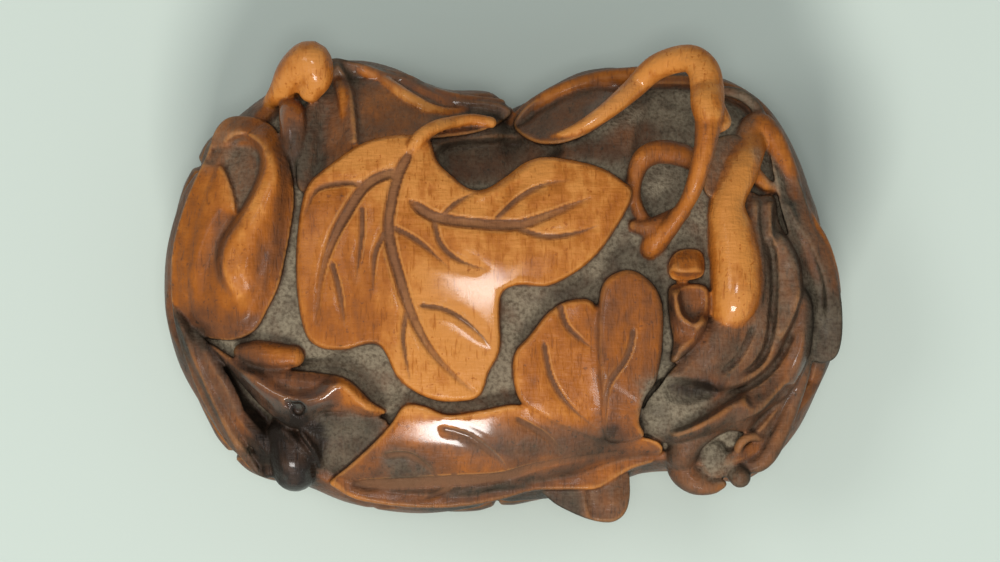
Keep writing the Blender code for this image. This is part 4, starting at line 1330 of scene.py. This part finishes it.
class Nodes:
    """Short hand for laying out a node tree."""

    def __init__(self, tree: bpy.types.NodeTree) -> None:
        """Keeps the tree that the nodes go in."""
        self.tree = tree

    def add(self, kind: str, **settings: object) -> bpy.types.Node:
        """Adds a node.

        Args:
            kind: The node's type name.
            settings: Its properties.

        Returns:
            The node.
        """
        node = self.tree.nodes.new(kind)
        for key, value in settings.items():
            setattr(node, key, value)
        return node

    def link(self, source: bpy.types.NodeSocket, target: bpy.types.NodeSocket) -> None:
        """Joins an output to an input."""
        self.tree.links.new(source, target)

    def feed(self, value: object, target: bpy.types.NodeSocket) -> None:
        """Sets an input to a number, or joins it to an output."""
        if isinstance(value, bpy.types.NodeSocket):
            self.link(value, target)
        else:
            target.default_value = value

    def math(self, operation: str, one: object, two: object = 0.0, clamp: bool = False) -> bpy.types.NodeSocket:
        """Adds a sum of two values.

        Args:
            operation: The kind of sum.
            one: First number or output.
            two: Second number or output.
            clamp: Whether the result is kept from 0 to 1.

        Returns:
            The result's output.
        """
        node = self.add("ShaderNodeMath", operation=operation, use_clamp=clamp)
        self.feed(one, node.inputs[0])
        self.feed(two, node.inputs[1])
        return node.outputs[0]

    def ramp(self, value: object, low: float, high: float) -> bpy.types.NodeSocket:
        """Maps a value from low to high onto 0 to 1, eased."""
        node = self.add("ShaderNodeMapRange", interpolation_type="SMOOTHSTEP")
        self.feed(value, node.inputs["Value"])
        node.inputs["From Min"].default_value = low
        node.inputs["From Max"].default_value = high
        return node.outputs["Result"]

    def blend(self, share: object, one: object, two: object) -> bpy.types.NodeSocket:
        """Mixes two colours.

        Args:
            share: How much of the second colour is taken.
            one: First colour or output.
            two: Second colour or output.

        Returns:
            The mixed colour's output.
        """
        node = self.add("ShaderNodeMix", data_type="RGBA")
        self.feed(share, node.inputs[0])
        self.feed(one, node.inputs[6])
        self.feed(two, node.inputs[7])
        return node.outputs[2]

    def noise(
        self, scale: float, detail: float, stretch: tuple[float, float, float] = (1, 1, 1)
    ) -> bpy.types.NodeSocket:
        """Adds cloudy noise in the object's own space.

        Args:
            scale: Clouds to the metre.
            detail: How many finer layers it has.
            stretch: Squeeze along each axis.

        Returns:
            The noise's output, from 0 to 1.
        """
        where = self.add("ShaderNodeTexCoord")
        squeeze = self.add("ShaderNodeMapping")
        squeeze.inputs["Scale"].default_value = stretch
        self.link(where.outputs["Object"], squeeze.inputs["Vector"])
        cloud = self.add("ShaderNodeTexNoise")
        cloud.inputs["Scale"].default_value = scale
        cloud.inputs["Detail"].default_value = detail
        self.link(squeeze.outputs["Vector"], cloud.inputs["Vector"])
        return cloud.outputs["Fac"]


@dataclass(frozen=True)
class GrainGroup:
    """Wood grain as a node group: long soft streaks, short dark flecks and open pores."""

    name: str = "boxwood_grain"

    def build(self) -> bpy.types.NodeTree:
        """Makes the group.

        Returns:
            The node group, with streaks, flecks and height as outputs.
        """
        tree = bpy.data.node_groups.new(self.name, "ShaderNodeTree")
        for socket, kind, way in (
            ("Fleck Share", "NodeSocketFloat", "INPUT"),
            ("Streaks", "NodeSocketFloat", "OUTPUT"),
            ("Flecks", "NodeSocketFloat", "OUTPUT"),
            ("Height", "NodeSocketFloat", "OUTPUT"),
        ):
            tree.interface.new_socket(socket, in_out=way, socket_type=kind)
        nodes = Nodes(tree)
        entry = nodes.add("NodeGroupInput")
        leave = nodes.add("NodeGroupOutput")
        streaks = nodes.noise(900.0, 5.0, (1.0, 0.16, 0.5))
        fleck_noise = nodes.noise(5200.0, 2.0, (1.0, 0.13, 0.45))
        flecks = nodes.ramp(fleck_noise, 0.58, 0.70)
        shown = nodes.math("MULTIPLY", flecks, entry.outputs["Fleck Share"])
        fine = nodes.noise(5200.0, 2.0, (1.0, 0.25, 0.5))
        height = nodes.math("SUBTRACT", fine, nodes.math("MULTIPLY", flecks, 0.8))
        nodes.link(streaks, leave.inputs["Streaks"])
        nodes.link(shown, leave.inputs["Flecks"])
        nodes.link(height, leave.inputs["Height"])
        return tree


@dataclass(frozen=True)
class DustGroup:
    """Dust that lies in the ground and the deep hollows, as a node group."""

    name: str = "hollow_dust"

    def build(self) -> bpy.types.NodeTree:
        """Makes the group.

        Returns:
            The node group, with the dust's share and its speckle as outputs.
        """
        tree = bpy.data.node_groups.new(self.name, "ShaderNodeTree")
        for socket, kind, way in (
            ("Ground", "NodeSocketFloat", "INPUT"),
            ("Hollow", "NodeSocketFloat", "INPUT"),
            ("Dust", "NodeSocketFloat", "OUTPUT"),
            ("Speckle", "NodeSocketFloat", "OUTPUT"),
        ):
            tree.interface.new_socket(socket, in_out=way, socket_type=kind)
        nodes = Nodes(tree)
        entry = nodes.add("NodeGroupInput")
        leave = nodes.add("NodeGroupOutput")
        patches = nodes.ramp(nodes.noise(650.0, 5.0), 0.32, 0.62)
        speckle = nodes.noise(3800.0, 3.0)
        up = nodes.add("ShaderNodeNewGeometry")
        split = nodes.add("ShaderNodeSeparateXYZ")
        nodes.link(up.outputs["Normal"], split.inputs[0])
        facing = nodes.ramp(split.outputs["Z"], 0.1, 0.7)
        ground = nodes.math("MULTIPLY", entry.outputs["Ground"], facing)
        lying = nodes.math("MULTIPLY", ground, nodes.math("ADD", nodes.math("MULTIPLY", patches, 0.45), 0.55))
        caught = nodes.math("MULTIPLY", entry.outputs["Hollow"], nodes.math("MULTIPLY", patches, 0.42))
        nodes.link(nodes.math("ADD", lying, caught, clamp=True), leave.inputs["Dust"])
        nodes.link(speckle, leave.inputs["Speckle"])
        return tree


@dataclass(frozen=True)
class Boxwood:
    """Old polished boxwood: honey on the worn faces, red-brown in the shade, dark in the cuts; faces that look up
    are painted lighter, and broad hollows and narrow creases painted darker as shade.
    """

    shades: tuple[tuple[float, tuple[float, float, float, float]], ...] = (
        (0.0, (0.014, 0.009, 0.006, 1.0)),
        (0.2, (0.050, 0.026, 0.015, 1.0)),
        (0.4, (0.115, 0.045, 0.020, 1.0)),
        (0.58, (0.200, 0.066, 0.018, 1.0)),
        (0.76, (0.335, 0.098, 0.012, 1.0)),
        (0.9, (0.450, 0.148, 0.022, 1.0)),
        (1.0, (0.580, 0.225, 0.046, 1.0)),
    )
    worn: tuple[float, float, float, float] = (0.56, 0.24, 0.06, 1.0)
    # Painted shade: the near-black brown that narrow creases are darkened towards.
    umber: tuple[float, float, float, float] = (0.036, 0.012, 0.006, 1.0)
    dust: tuple[float, float, float, float] = (0.280, 0.232, 0.158, 1.0)
    grime: tuple[float, float, float, float] = (0.110, 0.084, 0.054, 1.0)
    vein: tuple[float, float, float, float] = (0.190, 0.090, 0.044, 1.0)
    cloud_share: float = 0.44
    mottle_share: float = 0.36
    streak_share: float = 0.30
    # Painted light: how much lighter faces that look up are, and steep faces darker.
    facing_up_light_share: float = 0.22
    swell_share: float = 0.06
    # Painted shade: how much darker the tone is in broad hollows.
    hollow_shade_share: float = -0.26
    fleck_share: float = -0.13
    brown_share: float = -0.09
    spot_share: float = -0.15
    coat: float = 0.09
    coat_roughness: float = 0.11
    gloss_share: float = 0.8
    plain_roughness: float = 0.36
    specular: float = 0.14
    bump_strength: float = 0.3
    bump_distance: float = 0.0002

    def _shade(self, nodes: Nodes, tone: bpy.types.NodeSocket) -> bpy.types.NodeSocket:
        """Turns a tone from 0 to 1 into the wood's colour."""
        ramp = nodes.add("ShaderNodeValToRGB")
        stops = ramp.color_ramp.elements
        while len(stops) < len(self.shades):
            stops.new(0.5)
        for stop, (place, colour) in zip(stops, self.shades):
            stop.position = place
            stop.color = colour
        nodes.link(tone, ramp.inputs["Fac"])
        return ramp.outputs["Color"]

    def build(self, grain: bpy.types.NodeTree, dust: bpy.types.NodeTree) -> bpy.types.Material:
        """Makes the material.

        Args:
            grain: The wood grain group.
            dust: The dust group.

        Returns:
            The finished material.
        """
        material = bpy.data.materials.new("polished_boxwood")
        material.use_nodes = True
        nodes = Nodes(material.node_tree)
        shader = material.node_tree.nodes["Principled BSDF"]
        read = {}
        for name in ("honey", "dust", "gloss", "fine", "broad", "vein"):
            read[name] = nodes.add("ShaderNodeAttribute", attribute_name=name).outputs["Fac"]
        streak = nodes.add("ShaderNodeGroup", node_tree=grain)
        streak.inputs["Fleck Share"].default_value = 0.8
        # Narrow creases and vein bottoms; this mask darkens them as painted shade.
        groove = nodes.ramp(read["fine"], 0.62, 0.92)
        brown = nodes.ramp(nodes.noise(420.0, 4.0, (1.0, 0.7, 0.8)), 0.50, 0.72)
        spots = nodes.ramp(nodes.noise(2600.0, 2.0), 0.66, 0.72)
        # Broad hollows: they gather real dust, and they darken the tone as painted shade.
        hollow = nodes.ramp(read["broad"], 0.50, 0.86)
        swell = nodes.ramp(read["broad"], 0.5, 0.1)
        edge = nodes.ramp(read["fine"], 0.42, 0.16)
        cloud = nodes.noise(230.0, 6.0)
        mottle = nodes.noise(1500.0, 6.0, (1.0, 0.6, 0.8))
        # Painted light: faces that look up are made lighter in tone and steep faces darker.
        normal = nodes.add("ShaderNodeNewGeometry")
        split = nodes.add("ShaderNodeSeparateXYZ")
        nodes.link(normal.outputs["Normal"], split.inputs[0])
        level = nodes.ramp(split.outputs["Z"], 0.35, 0.98)
        terms = (
            (nodes.math("SUBTRACT", cloud, 0.5), self.cloud_share),
            (nodes.math("SUBTRACT", mottle, 0.5), self.mottle_share),
            (nodes.math("SUBTRACT", streak.outputs["Streaks"], 0.5), self.streak_share),
            (nodes.math("SUBTRACT", level, 0.75), self.facing_up_light_share),
            (swell, self.swell_share),
            (hollow, self.hollow_shade_share),
            (streak.outputs["Flecks"], self.fleck_share),
            (brown, self.brown_share),
            (spots, self.spot_share),
        )
        tone = read["honey"]
        for term, size in terms:
            tone = nodes.math("ADD", tone, nodes.math("MULTIPLY", term, size))
        colour = self._shade(nodes, nodes.math("ADD", tone, 0.0, clamp=True))
        worn = nodes.math("MULTIPLY", edge, nodes.ramp(read["honey"], 0.1, 0.8))
        colour = nodes.blend(nodes.math("MULTIPLY", worn, 0.5), colour, self.worn)
        dusty = nodes.add("ShaderNodeGroup", node_tree=dust)
        nodes.link(read["dust"], dusty.inputs["Ground"])
        nodes.link(hollow, dusty.inputs["Hollow"])
        grey = nodes.blend(nodes.ramp(dusty.outputs["Speckle"], 0.35, 0.80), self.dust, self.grime)
        colour = nodes.blend(nodes.math("MULTIPLY", dusty.outputs["Dust"], 0.92), colour, grey)
        colour = nodes.blend(nodes.math("MULTIPLY", read["vein"], 0.78), colour, self.vein)
        # Painted shade: darkens narrow creases and vein bottoms.
        colour = nodes.blend(nodes.math("MULTIPLY", groove, 0.45), colour, self.umber)
        nodes.link(colour, shader.inputs["Base Color"])
        rough = nodes.math("MULTIPLY_ADD", dusty.outputs["Dust"], 0.42)
        rough.node.inputs[2].default_value = self.plain_roughness
        rough = nodes.math("ADD", rough, nodes.math("MULTIPLY", cloud, 0.12), clamp=True)
        rough = nodes.math("ADD", rough, nodes.math("MULTIPLY", read["vein"], 0.2), clamp=True)
        nodes.link(rough, shader.inputs["Roughness"])
        clean = nodes.math("SUBTRACT", 1.0, dusty.outputs["Dust"], clamp=True)
        rubbed = nodes.math("ADD", nodes.math("MULTIPLY", nodes.ramp(cloud, 0.35, 0.62), 0.7), 0.3)
        polish = nodes.math("MULTIPLY", clean, nodes.math("ADD", nodes.ramp(read["honey"], 0.1, 0.7), 0.25))
        polish = nodes.math("MULTIPLY", polish, rubbed)
        unveined = nodes.math("SUBTRACT", 1.0, nodes.math("MULTIPLY", read["vein"], 0.8))
        polish = nodes.math("MULTIPLY", nodes.math("MULTIPLY", polish, unveined), self.coat)
        gleam = nodes.math("MULTIPLY", nodes.math("MULTIPLY", read["gloss"], clean), self.gloss_share)
        polish = nodes.math("ADD", polish, gleam)
        nodes.link(polish, shader.inputs["Coat Weight"])
        shader.inputs["Coat Roughness"].default_value = self.coat_roughness
        shader.inputs["Specular IOR Level"].default_value = self.specular
        grit = nodes.math("MULTIPLY", dusty.outputs["Speckle"], nodes.math("MULTIPLY", read["dust"], 3.0))
        ripple = nodes.math("MULTIPLY", nodes.noise(1300.0, 4.0, (0.45, 1.0, 0.8)), 2.6)
        scratch = nodes.math("MULTIPLY", nodes.noise(5200.0, 2.0, (0.12, 1.0, 0.6)), 0.8)
        wear = nodes.math("ADD", grit, nodes.math("ADD", ripple, scratch))
        rise = nodes.math("ADD", streak.outputs["Height"], wear)
        bump = nodes.add("ShaderNodeBump")
        bump.inputs["Strength"].default_value = self.bump_strength
        bump.inputs["Distance"].default_value = self.bump_distance
        nodes.link(rise, bump.inputs["Height"])
        nodes.link(bump.outputs["Normal"], shader.inputs["Normal"])
        return material


@dataclass(frozen=True)
class StudioFloor:
    """Plain pale floor."""

    half_side: float = 0.6
    colour: tuple[float, float, float, float] = (0.600, 0.680, 0.612, 1.0)

    def build(self) -> bpy.types.Object:
        """Lays the floor.

        Returns:
            The floor's object.
        """
        bpy.ops.mesh.primitive_plane_add(size=2.0 * self.half_side)
        floor = bpy.context.object
        floor.name = "floor"
        material = bpy.data.materials.new("pale_floor")
        material.use_nodes = True
        shader = material.node_tree.nodes["Principled BSDF"]
        shader.inputs["Base Color"].default_value = self.colour
        shader.inputs["Roughness"].default_value = 0.75
        floor.data.materials.append(material)
        return floor


@dataclass(frozen=True)
class Softbox:
    """Square or oblong soft light that faces the netsuke."""

    name: str
    place: tuple[float, float, float]
    size: tuple[float, float]
    watts: float
    colour: tuple[float, float, float] = (1.0, 1.0, 1.0)

    def build(self) -> bpy.types.Object:
        """Hangs the light.

        Returns:
            The light's object.
        """
        lamp = bpy.data.lights.new(self.name, "AREA")
        lamp.shape = "RECTANGLE"
        lamp.size, lamp.size_y = self.size
        lamp.energy = self.watts
        lamp.color = self.colour
        box = bpy.data.objects.new(self.name, lamp)
        box.location = self.place
        box.rotation_euler = (Vector((0, 0, 0.012)) - box.location).to_track_quat("-Z", "Y").to_euler()
        bpy.context.scene.collection.objects.link(box)
        return box


@dataclass(frozen=True)
class Studio:
    """Floor, soft lights and the camera that looks straight down."""

    plan: Plan
    lens: float = 250.0
    sensor: float = 36.0
    image_width: float = 1000.0
    image_middle: tuple[float, float] = (500.0, 281.0)
    rim_level: float = 0.014
    lamps: tuple[Softbox, ...] = (
        Softbox("window", (-0.05, -0.42, 0.42), (0.20, 0.12), 2.3, (1.0, 0.98, 0.95)),
        Softbox("overhead", (-0.36, 0.10, 0.62), (0.24, 0.24), 0.8),
        Softbox("ceiling", (0.004, -0.016, 0.60), (0.10, 0.10), 0.6),
    )
    room_colour: tuple[float, float, float, float] = (0.85, 0.9, 0.92, 1.0)
    room_strength: float = 0.38

    def camera(self) -> bpy.types.Object:
        """Sets the camera over the netsuke at the photograph's angle and framing.

        Returns:
            The camera's object.
        """
        optics = bpy.data.cameras.new("camera")
        optics.lens = self.lens
        optics.sensor_width = self.sensor
        optics.clip_start = 0.01
        optics.clip_end = 20.0
        seen = self.image_width * self.plan.unit
        distance = seen * self.lens / self.sensor
        x, y = self.plan.place([self.image_middle])[0]
        eye = bpy.data.objects.new("camera", optics)
        eye.location = (x, y, self.rim_level + distance)
        bpy.context.scene.collection.objects.link(eye)
        bpy.context.scene.camera = eye
        return eye

    def build(self) -> None:
        """Lays the floor, hangs the lights and sets the camera."""
        StudioFloor().build()
        for lamp in self.lamps:
            lamp.build()
        world = bpy.data.worlds.new("soft_room")
        world.use_nodes = True
        room = world.node_tree.nodes["Background"]
        room.inputs["Color"].default_value = self.room_colour
        room.inputs["Strength"].default_value = self.room_strength
        bpy.context.scene.world = world
        bpy.context.scene.view_settings.view_transform = "Standard"
        self.camera()


def main() -> None:
    """Carves the netsuke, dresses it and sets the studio."""
    logging.basicConfig(level=logging.INFO, format="%(name)s: %(message)s")
    plan = Plan()
    carving = Carving(plan)
    piece = carving.build()
    piece.data.materials.clear()
    piece.data.materials.append(Boxwood().build(GrainGroup().build(), DustGroup().build()))
    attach(piece, "root")
    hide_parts(NODE)
    log.info("%s rides on root and stands for %s", piece.name, NODE)
    Studio(plan).build()


if __name__ == "__main__":
    main()
